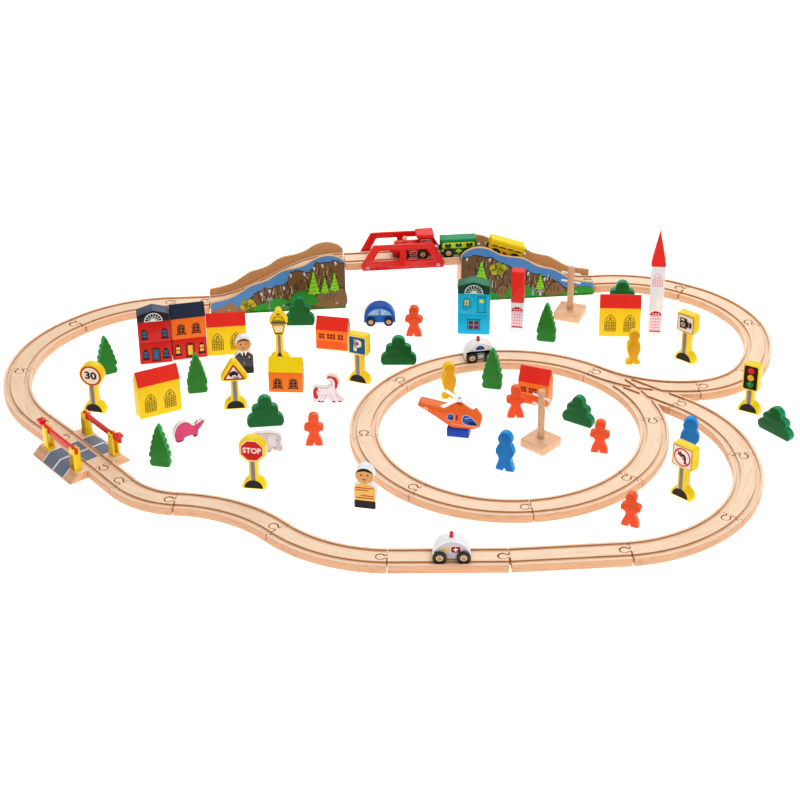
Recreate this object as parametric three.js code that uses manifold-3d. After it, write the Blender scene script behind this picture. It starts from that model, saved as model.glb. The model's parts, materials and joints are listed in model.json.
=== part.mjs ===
// Wooden train set: figure-of-eight track layout with a mountain bridge, a level crossing,
// a train of three, two rescue cars, a car, a helicopter and two of its town pieces.
// Millimetres, +Z up. The origin is the middle of the layout, on the floor.
import * as THREE from 'three';
import { mergeVertices } from 'three/addons/utils/BufferGeometryUtils.js';
import Module from 'manifold-3d';

const wasm = await Module();
wasm.setup();

// ---- driving dimensions -------------------------------------------------------------
const TRACK_WIDTH = 40;
const TRACK_HEIGHT = 12;
const GROOVE_DEPTH = 3;
const GROOVE_INNER = 10; // wheel groove, from the centre line
const GROOVE_OUTER = 16;
const JOINT_GAP = 1; // between two track ends in line
const CORNER_GAP = 0.4; // between their corners when they sit at an angle
const TAB_REACH = 9; // end face to the centre of the round tab
const SOCKET_REACH = 7.6;
const TAB_RADIUS = 5.5;
const TAB_NECK = 2.5; // half the width of the neck
const SOCKET_CLEARANCE = 1.4;

const LONG_RADIUS = 200; // centre line radius of the long curve
const TIGHT_RADIUS = 186;
const SHORT_RADIUS = 110;
const CURVE_TURN = 45;
const STRAIGHT = 151.5;
const SHORT_STRAIGHT = 52;
const ADAPTOR = 54;
const CROSSING = 100;
const RAMP = 208;
const DECK = 176;
const DECK_TOP = 74;
const RAMP_FLAT = 20; // level stretch at the top of each ramp
const CURVE_STEP = 6.5; // degrees per facet on curved track

const CIRCLE_X = 160.35; // centre of the track circle in the part frame
const CIRCLE_Y = -65.14;
const SWITCH_ANGLE = 50.3; // where the three-way switch starts on the circle
const SWITCH_STRAIGHT = 144;
const SWITCH_LEAD = 12;
const SWITCH_RADIUS = 187;
const GAP_ANGLE = 0.3; // the joint gap, seen from the circle's centre

const SHEET = 4; // thickness of mountain panels and bridge sides
const CLEAR = 0.3; // gap between pieces that touch
const WHEEL_INNER = 11.2;
const WHEEL_OUTER = 14.6;
const AXLE_RADIUS = 1.5;
const AXLE_BORE = 2.1;
const BODY_WIDTH = 20;
const ROLL_GAP = 0.4; // wheel to running surface

const rad = THREE.MathUtils.degToRad;

// ---- materials ----------------------------------------------------------------------
function paint(color, roughness = 0.5, metalness = 0) {
  return new THREE.MeshStandardMaterial({ color, roughness, metalness });
}
const BEECH = 0xf0cdaf;
const RED = 0xd8251c;
const YELLOW = 0xf2cf10;

// ---- solids -------------------------------------------------------------------------
function solid(geometry) {
  const bare = geometry.index ? geometry.toNonIndexed() : geometry.clone();
  bare.deleteAttribute('normal');
  bare.deleteAttribute('uv');
  const merged = mergeVertices(bare, 1e-4);
  const index = merged.index.array;
  const triangles = [];
  for (let i = 0; i < index.length; i += 3) {
    const [a, b, c] = [index[i], index[i + 1], index[i + 2]];
    if (a !== b && b !== c && c !== a) triangles.push(a, b, c);
  }
  return new wasm.Manifold(new wasm.Mesh({
    numProp: 3,
    vertProperties: new Float32Array(merged.attributes.position.array),
    triVerts: new Uint32Array(triangles),
  }));
}

function mesh(name, shape, material) {
  const { vertProperties, triVerts } = shape.getMesh();
  const geometry = new THREE.BufferGeometry();
  geometry.setAttribute('position', new THREE.BufferAttribute(vertProperties, 3));
  geometry.setIndex(new THREE.BufferAttribute(triVerts, 1));
  geometry.computeVertexNormals();
  const made = new THREE.Mesh(geometry, material);
  made.name = name;
  return made;
}

function outline(points) {
  return new THREE.Shape(points.map(([x, y]) => new THREE.Vector2(x, y)));
}

// a plan view outline raised from z0 to z1
function raise(shape, z0, z1) {
  const geometry = new THREE.ExtrudeGeometry(shape, {
    depth: z1 - z0, bevelEnabled: false, curveSegments: 8,
  });
  return solid(geometry.translate(0, 0, z0));
}

// a side view outline (x along, y up) given a width across, from y0 to y1
function across(shape, y0, y1) {
  const geometry = new THREE.ExtrudeGeometry(shape, {
    depth: y1 - y0, bevelEnabled: false, curveSegments: 6,
  });
  return solid(geometry.rotateX(Math.PI / 2).translate(0, y1, 0));
}

// an end view outline (x across, y up) run along x from x0 to x1
function along(shape, x0, x1) {
  const geometry = new THREE.ExtrudeGeometry(shape, {
    depth: x1 - x0, bevelEnabled: false, curveSegments: 6,
  });
  return solid(geometry.rotateX(Math.PI / 2).rotateZ(Math.PI / 2).translate(x0, 0, 0));
}

function block(x0, x1, y0, y1, z0, z1) {
  const geometry = new THREE.BoxGeometry(x1 - x0, y1 - y0, z1 - z0);
  return solid(geometry.translate((x0 + x1) / 2, (y0 + y1) / 2, (z0 + z1) / 2));
}

// a rod along Y
function crossRod(radius, halfLength, x, z, sides = 10) {
  const geometry = new THREE.CylinderGeometry(radius, radius, 2 * halfLength, sides);
  return solid(geometry.translate(x, 0, z));
}

// an upright rod
function post(radius, x, y, z0, z1, sides = 10) {
  const geometry = new THREE.CylinderGeometry(radius, radius, z1 - z0, sides);
  return solid(geometry.rotateX(Math.PI / 2).translate(x, y, (z0 + z1) / 2));
}

// ---- track --------------------------------------------------------------------------
// A path is a list of straights { length } and arcs { radius, turn }, turn in degrees,
// positive to the left. It starts at the origin and heads along +X.
function followPath(path) {
  const stations = [{ x: 0, y: 0, heading: 0 }];
  for (const leg of path) {
    const from = stations[stations.length - 1];
    if (leg.length) {
      stations.push({
        x: from.x + leg.length * Math.cos(from.heading),
        y: from.y + leg.length * Math.sin(from.heading),
        heading: from.heading,
      });
      continue;
    }
    const steps = Math.ceil(Math.abs(leg.turn) / CURVE_STEP);
    const side = Math.sign(leg.turn);
    const centreX = from.x - side * leg.radius * Math.sin(from.heading);
    const centreY = from.y + side * leg.radius * Math.cos(from.heading);
    for (let i = 1; i <= steps; i += 1) {
      const heading = from.heading + (rad(leg.turn) * i) / steps;
      stations.push({
        x: centreX + side * leg.radius * Math.sin(heading),
        y: centreY - side * leg.radius * Math.cos(heading),
        heading,
      });
    }
  }
  return stations;
}

// the strip beside the path between two sideways offsets, run on past both ends by extra
function band(path, low, high, extra = 0) {
  const stations = followPath(path);
  const first = stations[0];
  const last = stations[stations.length - 1];
  const edge = ({ x, y, heading }, offset, shift = 0) => [
    x - offset * Math.sin(heading) + shift * Math.cos(heading),
    y + offset * Math.cos(heading) + shift * Math.sin(heading),
  ];
  const right = stations.map((s) => edge(s, low));
  const left = stations.map((s) => edge(s, high));
  if (extra) {
    right.unshift(edge(first, low, -extra));
    right.push(edge(last, low, extra));
    left.unshift(edge(first, high, -extra));
    left.push(edge(last, high, extra));
  }
  return outline([...right, ...left.reverse()]);
}

function jigsaw(neck, radius, reach) {
  const start = Math.PI - Math.asin(neck / radius);
  const points = [[-1, -neck]];
  const steps = 8;
  for (let i = 0; i <= steps; i += 1) {
    const angle = -start + (2 * start * i) / steps;
    points.push([reach + radius * Math.cos(angle), radius * Math.sin(angle)]);
  }
  points.push([-1, neck]);
  return outline(points);
}

function tab(z0, z1) {
  return raise(jigsaw(TAB_NECK, TAB_RADIUS, TAB_REACH), z0, z1);
}

function socket(z0, z1) {
  const neck = TAB_NECK + SOCKET_CLEARANCE;
  const radius = TAB_RADIUS + SOCKET_CLEARANCE;
  return raise(jigsaw(neck, radius, SOCKET_REACH), z0 - 1, z1 + 1);
}

function turned(shape, degrees, x, y, z = 0) {
  return shape.rotate([0, 0, degrees]).translate([x, y, z]);
}

// joins or cuts the jigsaw ends of a path: start and end are 'tab' or 'socket'
function endJoints(shape, path, start, end, z0 = 0, z1 = TRACK_HEIGHT) {
  const stations = followPath(path);
  const last = stations[stations.length - 1];
  const degrees = THREE.MathUtils.radToDeg(last.heading);
  let made = shape;
  if (start === 'tab') made = made.add(turned(tab(z0, z1), 180, 0, 0));
  if (start === 'socket') made = made.subtract(socket(z0, z1));
  if (end === 'tab') made = made.add(turned(tab(z0, z1), degrees, last.x, last.y));
  if (end === 'socket') {
    made = made.subtract(turned(socket(z0, z1), degrees + 180, last.x, last.y));
  }
  return made;
}

function grooves(path, top) {
  const cut = (low, high) => raise(band(path, low, high, 0.5), top - GROOVE_DEPTH, top + 1);
  return cut(GROOVE_INNER, GROOVE_OUTER).add(cut(-GROOVE_OUTER, -GROOVE_INNER));
}

function flatTrack(path, start, end, z0 = 0) {
  const top = z0 + TRACK_HEIGHT;
  const half = TRACK_WIDTH / 2;
  const plank = raise(band(path, -half, half), z0, top).subtract(grooves(path, top));
  return endJoints(plank, path, start, end, z0, top);
}

// three-way switch: left branch, straight on, right branch
const SWITCH_LEFT = [{ length: SWITCH_LEAD }, { radius: SWITCH_RADIUS, turn: CURVE_TURN }];
const SWITCH_AHEAD = [{ length: SWITCH_STRAIGHT }];
const SWITCH_RIGHT = [{ radius: LONG_RADIUS, turn: -(CURVE_TURN - GAP_ANGLE) }];

function switchTrack() {
  const branches = [SWITCH_LEFT, SWITCH_AHEAD, SWITCH_RIGHT];
  const half = TRACK_WIDTH / 2;
  let plank = null;
  for (const path of branches) {
    const strip = raise(band(path, -half, half), 0, TRACK_HEIGHT);
    plank = plank ? plank.add(strip) : strip;
  }
  for (const path of branches) plank = plank.subtract(grooves(path, TRACK_HEIGHT));
  for (const path of branches) plank = endJoints(plank, path, null, 'tab');
  return plank.subtract(socket(0, TRACK_HEIGHT));
}

// height of a ramp's running surface, u from its high end
function rampTop(u) {
  const t = THREE.MathUtils.clamp((u - RAMP_FLAT) / (RAMP - RAMP_FLAT), 0, 1);
  return TRACK_HEIGHT + (DECK_TOP - TRACK_HEIGHT) * (0.5 + 0.5 * Math.cos(Math.PI * t));
}

// an S-shaped ramp; its high end is at x = 0 and it runs down along +X
function ramp(highEnd, lowEnd) {
  const steps = 12;
  const surface = [0];
  for (let i = 0; i <= steps; i += 1) surface.push(RAMP_FLAT + ((RAMP - RAMP_FLAT) * i) / steps);
  const side = (above, below, past) => {
    const top = surface.map((u) => [u, rampTop(u) + above]);
    const bottom = surface.map((u) => [u, rampTop(u) - below]).reverse();
    if (past) {
      top.unshift([-past, rampTop(0) + above]);
      top.push([RAMP + past, rampTop(RAMP) + above]);
      bottom.unshift([RAMP + past, rampTop(RAMP) - below]);
      bottom.push([-past, rampTop(0) - below]);
    }
    return outline([...top, ...bottom].reverse());
  };
  const half = TRACK_WIDTH / 2;
  const leg = block(0, 10, -half, half, 0, DECK_TOP - TRACK_HEIGHT + 1);
  const cut = side(1, GROOVE_DEPTH, 0.5);
  let plank = across(side(0, TRACK_HEIGHT, 0), -half, half).add(leg);
  plank = plank.subtract(across(cut, GROOVE_INNER, GROOVE_OUTER));
  plank = plank.subtract(across(cut, -GROOVE_OUTER, -GROOVE_INNER));
  const path = [{ length: RAMP }];
  plank = endJoints(plank, path, highEnd, null, DECK_TOP - TRACK_HEIGHT, DECK_TOP);
  return endJoints(plank, path, null, lowEnd);
}

// ---- level crossing -----------------------------------------------------------------
const POST_NEAR = 18; // gate posts, along the crossing and to each side of it
const POST_FAR = 88;
const POST_SIDE = 30;
const POST_TOP = 47;
const BOOM_HEIGHT = 42.5; // height of the boom's pivot
const BOOM_HALF = 4;
const BOOM_THICK = 4;
const SLOT = 5;

function gatePost(x, y, pivot) {
  const slotFloor = pivot ? TRACK_HEIGHT + 4 : BOOM_HEIGHT - BOOM_HALF - CLEAR;
  const body = block(x - 6, x + 6, y - 5.5, y + 5.5, TRACK_HEIGHT - 1, POST_TOP);
  const slot = block(x - 7, x + 7, y - SLOT / 2, y + SLOT / 2, slotFloor, POST_TOP + 1);
  const fork = body.subtract(slot);
  if (!pivot) return fork;
  return fork.add(crossRod(1.5, 4, x, BOOM_HEIGHT).translate([0, y, 0]));
}

function levelCrossing() {
  const path = [{ length: CROSSING }];
  const ends = outline([[-48, 0], [48, 0], [34, TRACK_HEIGHT], [-34, TRACK_HEIGHT]]);
  let made = along(ends, 0, CROSSING).subtract(grooves(path, TRACK_HEIGHT));
  made = endJoints(made, path, 'socket', 'tab');
  made = made.add(gatePost(POST_NEAR, -POST_SIDE, true));
  made = made.add(gatePost(POST_FAR, -POST_SIDE, false));
  made = made.add(gatePost(POST_NEAR, POST_SIDE, false));
  return made.add(gatePost(POST_FAR, POST_SIDE, true));
}

// barrier boom: pivot at the origin, arm along +X, weight plate on its tail
function boom() {
  const arm = block(-20, 75, -BOOM_THICK / 2, BOOM_THICK / 2, -BOOM_HALF, BOOM_HALF);
  const weight = block(-20, -10.5, -5, 5, BOOM_HALF, 8.5);
  return arm.add(weight).subtract(crossRod(2, 10, 0, 0));
}

// ---- bridge and mountain ------------------------------------------------------------
// ridge line of a mountain panel: distance from its high end, height
const RIDGE = [
  [0, 79], [24, 92], [46, 87.5], [64, 76], [92, 70.5], [116, 56], [144, 47.5], [172, 30], [208, 21],
];

function mountainPanel() {
  const ridge = new THREE.SplineCurve(RIDGE.map(([u, z]) => new THREE.Vector2(u, z)));
  const top = ridge.getPoints(24).map((p) => [p.x, p.y]);
  return across(outline([[0, 0], [RAMP, 0], ...top.reverse()]), -SHEET / 2, SHEET / 2);
}

// bridge side: a flat truss with two openings
const TRUSS_LENGTH = 125;
const TRUSS_HEIGHT = 42;
const TRUSS_BASE = 61.5;

function bridgeSide() {
  const half = TRUSS_LENGTH / 2;
  const shape = outline([
    [-half, 0], [half, 0], [half + 1, 9], [half - 17, TRUSS_HEIGHT], [17 - half, TRUSS_HEIGHT],
    [-half - 1, 9],
  ]);
  const opening = outline([[5, 14], [47, 14], [37, 33], [5, 33]]);
  const cut = across(opening, -SHEET, SHEET);
  return across(shape, -SHEET / 2, SHEET / 2).subtract(cut).subtract(cut.mirror([1, 0, 0]));
}

// ---- vehicles -----------------------------------------------------------------------
// A vehicle's own frame: +X forward, z = 0 where its wheels roll.
function wheelset(radius) {
  const profile = [
    [0, -WHEEL_OUTER], [radius, -WHEEL_OUTER], [radius, -WHEEL_INNER], [AXLE_RADIUS, -WHEEL_INNER],
    [AXLE_RADIUS, WHEEL_INNER], [radius, WHEEL_INNER], [radius, WHEEL_OUTER], [0, WHEEL_OUTER],
  ];
  return solid(new THREE.LatheGeometry(profile.map(([r, y]) => new THREE.Vector2(r, y)), 14));
}

function bored(body, axles, height) {
  let made = body;
  for (const x of axles) made = made.subtract(crossRod(AXLE_BORE, BODY_WIDTH, x, height));
  return made;
}

function locomotive() {
  const half = BODY_WIDTH / 2;
  const side = outline([
    [-31, 5], [31, 5], [32, 15], [28, 17], [28, 27], [-9, 27], [-9, 36], [-29, 36], [-29, 15],
    [-32, 13],
  ]);
  const roof = block(-32, -5, -13, 13, 35.5, 41);
  const chimney = post(3, 12, 0, 26, 35);
  return across(side, -half, half).add(roof).add(chimney);
}

function coach() {
  return block(-27.5, 27.5, -BODY_WIDTH / 2, BODY_WIDTH / 2, 5, 29.5);
}

function dome(length, low, high) {
  const half = length / 2;
  const shape = new THREE.Shape();
  shape.moveTo(-half, low);
  shape.lineTo(half, low);
  shape.lineTo(half, low + 4);
  shape.absellipse(0, low + 4, half, high - low - 4, 0, Math.PI, false, 0);
  return across(shape, -BODY_WIDTH / 2, BODY_WIDTH / 2);
}

// places a vehicle: body first, then its two wheelsets on the axle line
function vehicle(name, body, colour, wheelRadius, wheelbase) {
  const group = new THREE.Group();
  const axles = [wheelbase / 2, -wheelbase / 2];
  const axleHeight = wheelRadius + ROLL_GAP;
  group.add(mesh(`${name}_body`, bored(body, axles, axleHeight), paint(colour, 0.35)));
  ['front', 'rear'].forEach((end, i) => {
    const wheels = mesh(`${name}_${end}_wheels`, wheelset(wheelRadius), paint(0x15120f, 0.5));
    wheels.position.set(axles[i], 0, axleHeight);
    group.add(wheels);
  });
  return group;
}

// ---- helicopter ---------------------------------------------------------------------
const ROTOR_HEIGHT = 55;

function helicopter() {
  const shape = outline([
    [-10, 14], [22, 14], [31, 20], [31, 28], [22, 40], [12, 46], [2, 50], [-6, 49], [-16, 42],
    [-54, 49], [-58, 45], [-30, 28],
  ]);
  const cabin = across(shape, -10, 10);
  const skid = block(-16, 15, -11, 11, 0, 14.5);
  return cabin.add(skid).add(post(1.6, 0, 0, 45, ROTOR_HEIGHT + 3));
}

function rotor() {
  const blade = block(-32, 32, -3.5, 3.5, -1, 1);
  const hub = post(5, 0, 0, -2, 2);
  return hub.add(blade).add(blade.rotate([0, 0, 90])).subtract(post(2.1, 0, 0, -5, 5));
}

// ---- town pieces --------------------------------------------------------------------
function spireTower() {
  const cone = new THREE.ConeGeometry(15.5, 56, 4).rotateY(Math.PI / 4).rotateX(Math.PI / 2);
  return block(-10.5, 10.5, -10.5, 10.5, 0, 118.5).add(solid(cone.translate(0, 0, 146)));
}

function townhouse() {
  const front = outline([[-23.5, 0], [23.5, 0], [23.5, 81], [0, 88], [-23.5, 81]]);
  return across(front, -11, 11);
}

// ---- layout -------------------------------------------------------------------------
const layout = new THREE.Group();
layout.position.set(CIRCLE_X, CIRCLE_Y, 0);

function place(object, x, y, degrees, z = 0) {
  object.position.set(x, y, z);
  object.rotation.z = rad(degrees);
  layout.add(object);
  return object;
}

function onCircle(angle) {
  return [LONG_RADIUS * Math.cos(rad(angle)), LONG_RADIUS * Math.sin(rad(angle))];
}

// the circle: the switch, then seven long curves running clockwise
place(mesh('switch_track', switchTrack(), paint(BEECH)), ...onCircle(SWITCH_ANGLE), SWITCH_ANGLE - 90);
for (let i = 1; i <= 7; i += 1) {
  const angle = SWITCH_ANGLE - CURVE_TURN * i;
  const curve = flatTrack(SWITCH_RIGHT, 'socket', 'tab');
  place(mesh(`circle_curve_${i}`, curve, paint(BEECH)), ...onCircle(angle), angle - 90);
}

// the outer loop, from the switch's left branch round to its middle branch.
// Each piece sits at a small angle to the one before it, as the joints' play allows.
const longLeft = [{ radius: LONG_RADIUS, turn: CURVE_TURN }];
const longRight = [{ radius: LONG_RADIUS, turn: -CURVE_TURN }];
const tightLeft = [{ radius: TIGHT_RADIUS, turn: CURVE_TURN }];
const shortLeft = [{ radius: SHORT_RADIUS, turn: CURVE_TURN }];
const onwards = ['socket', 'tab'];
const backwards = ['tab', 'socket'];
const LOOP = [
  ['right_short_curve', shortLeft, onwards, 1.34],
  ['right_curve_1', tightLeft, onwards, 4.6],
  ['right_curve_2', tightLeft, onwards, 2.34],
  ['right_curve_3', tightLeft, onwards, -4.42],
  ['ramp_right', [{ length: RAMP }], onwards, -3.86],
  ['bridge_deck', [{ length: DECK }], onwards, -0.19],
  ['ramp_left', [{ length: RAMP }], onwards, -0.11],
  ['short_straight', [{ length: SHORT_STRAIGHT }], onwards, -2.24],
  ['left_curve_1', longLeft, onwards, -1.78],
  ['left_curve_2', longLeft, onwards, -3.62],
  ['left_curve_3', longLeft, onwards, -0.8],
  ['adaptor_left', [{ length: ADAPTOR }], onwards, -1.55],
  ['crossing_track', [{ length: CROSSING }], onwards, -1.62],
  ['adaptor_right', [{ length: ADAPTOR }], ['socket', 'socket'], -0.43],
  ['front_short_curve', shortLeft, backwards, -0.3],
  ['s_curve_1', longRight, backwards, 2.57],
  ['s_curve_2', longLeft, backwards, 2.29],
  ['straight_1', [{ length: STRAIGHT }], backwards, 1.96],
  ['straight_2', [{ length: STRAIGHT }], backwards, 4.44],
  ['corner_curve_1', longLeft, backwards, 3.04],
  ['corner_curve_2', longLeft, backwards, 0.93],
  ['corner_curve_3', longLeft, backwards, -2.59],
];

function loopSolid(name, path, [start, end]) {
  if (name === 'bridge_deck') return flatTrack(path, start, end, DECK_TOP - TRACK_HEIGHT);
  if (name === 'ramp_left') return ramp(start, end);
  if (name === 'ramp_right') return ramp(end, start).rotate([0, 0, 180]).translate([RAMP, 0, 0]);
  if (name === 'crossing_track') return levelCrossing();
  return flatTrack(path, start, end);
}

const placed = {};
{
  const branch = followPath(SWITCH_LEFT).pop();
  const [x0, y0] = onCircle(SWITCH_ANGLE);
  const turn = rad(SWITCH_ANGLE - 90);
  let x = x0 + branch.x * Math.cos(turn) - branch.y * Math.sin(turn);
  let y = y0 + branch.x * Math.sin(turn) + branch.y * Math.cos(turn);
  let heading = turn + branch.heading;
  for (const [name, path, joints, play] of LOOP) {
    heading += rad(play);
    const opened = (TRACK_WIDTH / 2) * Math.abs(Math.tan(rad(play))) + CORNER_GAP;
    const gap = Math.max(JOINT_GAP, opened);
    x += gap * Math.cos(heading);
    y += gap * Math.sin(heading);
    const degrees = THREE.MathUtils.radToDeg(heading);
    placed[name] = place(mesh(name, loopSolid(name, path, joints), paint(BEECH)), x, y, degrees);
    const end = followPath(path).pop();
    const dx = end.x * Math.cos(heading) - end.y * Math.sin(heading);
    const dy = end.x * Math.sin(heading) + end.y * Math.cos(heading);
    x += dx;
    y += dy;
    heading += end.heading;
  }
}

// a group that shares a placed piece's frame
function frameOf(name) {
  const piece = placed[name];
  const group = new THREE.Group();
  group.position.copy(piece.position);
  group.rotation.copy(piece.rotation);
  layout.add(group);
  return group;
}

// mountain panels on both sides of each ramp
const panelOffset = TRACK_WIDTH / 2 + CLEAR + SHEET / 2;
for (const side of ['left', 'right']) {
  const group = frameOf(`ramp_${side}`);
  for (const [face, y] of [['front', panelOffset], ['back', -panelOffset]]) {
    const panel = mesh(`mountain_${side}_${face}`, mountainPanel(), paint(0x8a6a45, 0.6));
    if (side === 'right') {
      panel.rotation.z = Math.PI;
      panel.position.set(RAMP, y, 0);
    } else {
      panel.position.set(0, y, 0);
    }
    group.add(panel);
  }
}

// bridge sides, screwed to the deck
const TRUSS_MIDDLE = 88; // from the deck's right end
const deckFrame = frameOf('bridge_deck');
for (const [face, y] of [['front', panelOffset], ['back', -panelOffset]]) {
  const truss = mesh(`bridge_side_${face}`, bridgeSide(), paint(RED, 0.3));
  truss.position.set(TRUSS_MIDDLE, y, TRUSS_BASE);
  deckFrame.add(truss);
}

// barrier booms, pivoted on opposite corners of the crossing
const crossingFrame = frameOf('crossing_track');
[[POST_NEAR, -POST_SIDE, 0], [POST_FAR, POST_SIDE, 180]].forEach(([x, y, degrees], i) => {
  const arm = mesh(`gate_boom_${i + 1}`, boom(), paint(RED, 0.3));
  arm.position.set(x, y, BOOM_HEIGHT);
  arm.rotation.z = rad(degrees);
  crossingFrame.add(arm);
});

// the train, heading for the left ramp: distances from the deck's right end
const RAIL = TRACK_HEIGHT - GROOVE_DEPTH;
const DECK_RAIL = DECK_TOP - GROOVE_DEPTH;
const TRAIN_WHEEL = 8;
const LOCO_AT = 71;
const GREEN_AT = 1;
const YELLOW_AT = 66; // from the high end of the right ramp, down the slope

const loco = vehicle('loco', locomotive(), RED, TRAIN_WHEEL, 29);
loco.position.set(LOCO_AT, 0, DECK_RAIL);
deckFrame.add(loco);
const green = vehicle('green_coach', coach(), 0x0a7a3c, TRAIN_WHEEL, 32);
green.position.set(GREEN_AT, 0, DECK_RAIL);
deckFrame.add(green);

const yellow = vehicle('yellow_coach', coach(), YELLOW, TRAIN_WHEEL, 32);
const slopeFrom = rampTop(YELLOW_AT - 15);
const slopeTo = rampTop(YELLOW_AT + 15);
yellow.position.set(RAMP - YELLOW_AT, 0, (slopeFrom + slopeTo) / 2 - GROOVE_DEPTH + 0.3);
yellow.rotation.y = -Math.atan2(slopeFrom - slopeTo, 30);
frameOf('ramp_right').add(yellow);

// cars
const police = vehicle('police_car', dome(46, 5, 31).add(post(3, 2, 0, 28, 38)), 0xf4f4f2, 8.5, 26);
const POLICE_ANGLE = 99.5;
place(police, ...onCircle(POLICE_ANGLE), POLICE_ANGLE + 90, RAIL);

const ambulance = vehicle('ambulance', dome(48, 6, 33).add(post(2.6, 0, 0, 30, 42)), 0xf4f4f2, 9, 30);
ambulance.position.set(80, 0, RAIL);
ambulance.rotation.z = Math.PI;
frameOf('straight_1').add(ambulance);

place(vehicle('blue_car', dome(48, 4.5, 33), 0x0a7ad8, 7.5, 27), -179, 330, 0);

// helicopter
const heli = new THREE.Group();
heli.add(mesh('helicopter_body', helicopter(), paint(0xf07a1c, 0.35)));
const rotorMesh = mesh('helicopter_rotor', rotor(), paint(0xf5f5f3, 0.3));
rotorMesh.position.z = ROTOR_HEIGHT;
rotorMesh.rotation.z = rad(50);
heli.add(rotorMesh);
place(heli, -68, 3, -12);

// town pieces
place(mesh('spire_tower', spireTower(), paint(0xf0efee, 0.5)), 233.5, 282, -7);
place(mesh('townhouse_red', townhouse(), paint(0xc22a20, 0.5)), -509.1, 221.8, 11);

export default layout;
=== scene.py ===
"""Wooden train set: the looks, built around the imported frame.

Lengths are millimetres until a mesh is made.
"""
import functools
import json
from math import acos, asin, atan2, cos, degrees, hypot, pi, radians, sin, tan

import bmesh
import bpy
from mathutils import Matrix, Vector

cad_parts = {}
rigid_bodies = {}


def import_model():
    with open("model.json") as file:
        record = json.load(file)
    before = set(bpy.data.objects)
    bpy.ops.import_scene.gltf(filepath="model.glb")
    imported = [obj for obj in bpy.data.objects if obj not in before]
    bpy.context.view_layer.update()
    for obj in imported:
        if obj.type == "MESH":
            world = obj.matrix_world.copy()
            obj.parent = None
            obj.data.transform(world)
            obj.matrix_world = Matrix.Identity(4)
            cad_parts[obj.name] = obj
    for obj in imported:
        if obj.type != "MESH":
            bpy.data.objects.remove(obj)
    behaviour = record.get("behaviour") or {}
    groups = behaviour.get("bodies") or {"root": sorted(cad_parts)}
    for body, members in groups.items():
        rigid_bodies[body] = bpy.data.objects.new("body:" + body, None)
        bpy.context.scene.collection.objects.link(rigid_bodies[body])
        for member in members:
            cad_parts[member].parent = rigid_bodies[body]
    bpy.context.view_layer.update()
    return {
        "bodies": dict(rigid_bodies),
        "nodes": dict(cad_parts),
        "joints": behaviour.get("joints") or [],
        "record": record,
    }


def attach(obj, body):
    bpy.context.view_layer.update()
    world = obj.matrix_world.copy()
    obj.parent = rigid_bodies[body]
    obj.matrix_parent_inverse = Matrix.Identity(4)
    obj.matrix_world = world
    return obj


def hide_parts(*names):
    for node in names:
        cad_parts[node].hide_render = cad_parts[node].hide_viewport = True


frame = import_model()

MM = 0.001
# the scenery's places are given from the centre of the track circle, which is here in the frame
CIRCLE = (160.35, -65.14)


def move(x, y, z):
    return Matrix.Translation((x, y, z))


def turned(yaw):
    """A turn about the upright axis, in degrees."""
    return Matrix.Rotation(radians(yaw), 4, "Z")


def linked(name, data):
    """A new object in the scene."""
    made = bpy.data.objects.new(name, data)
    bpy.context.scene.collection.objects.link(made)
    return made


# ---- camera ---------------------------------------------------------------------------
# fitted to the photo: its tilt in degrees, its place in millimetres from the circle's centre
PITCH, ROLL, LENS = 30.555, -0.679, 92.144
CAMERA_PLACE = (-149.67, -2413.25, 1481.52)


def make_camera():
    pitch, roll = radians(PITCH), radians(ROLL)
    right = Vector((1, 0, 0))
    up = Vector((0, sin(pitch), cos(pitch)))
    forward = Vector((0, cos(pitch), -sin(pitch)))
    side = cos(roll) * right + sin(roll) * up
    top = -sin(roll) * right + cos(roll) * up
    camera = linked("camera", bpy.data.cameras.new("camera"))
    rows = [[side[i], top[i], -forward[i]] for i in range(3)]
    place = Vector([a + b for a, b in zip((*CIRCLE, 0), CAMERA_PLACE)]) * MM
    camera.matrix_world = Matrix.Translation(place) @ Matrix(rows).to_4x4()
    camera.data.sensor_width = 36
    camera.data.lens = LENS
    camera.data.clip_start = 0.05
    bpy.context.scene.camera = camera


make_camera()


# ---- materials ------------------------------------------------------------------------
def linear(colour):
    """An sRGB colour of 0 to 255 as the linear colour a shader takes."""
    out = []
    for c in colour:
        c = c / 255
        out.append(c / 12.92 if c <= 0.04045 else ((c + 0.055) / 1.055) ** 2.4)
    return (*out, 1.0)


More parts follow.
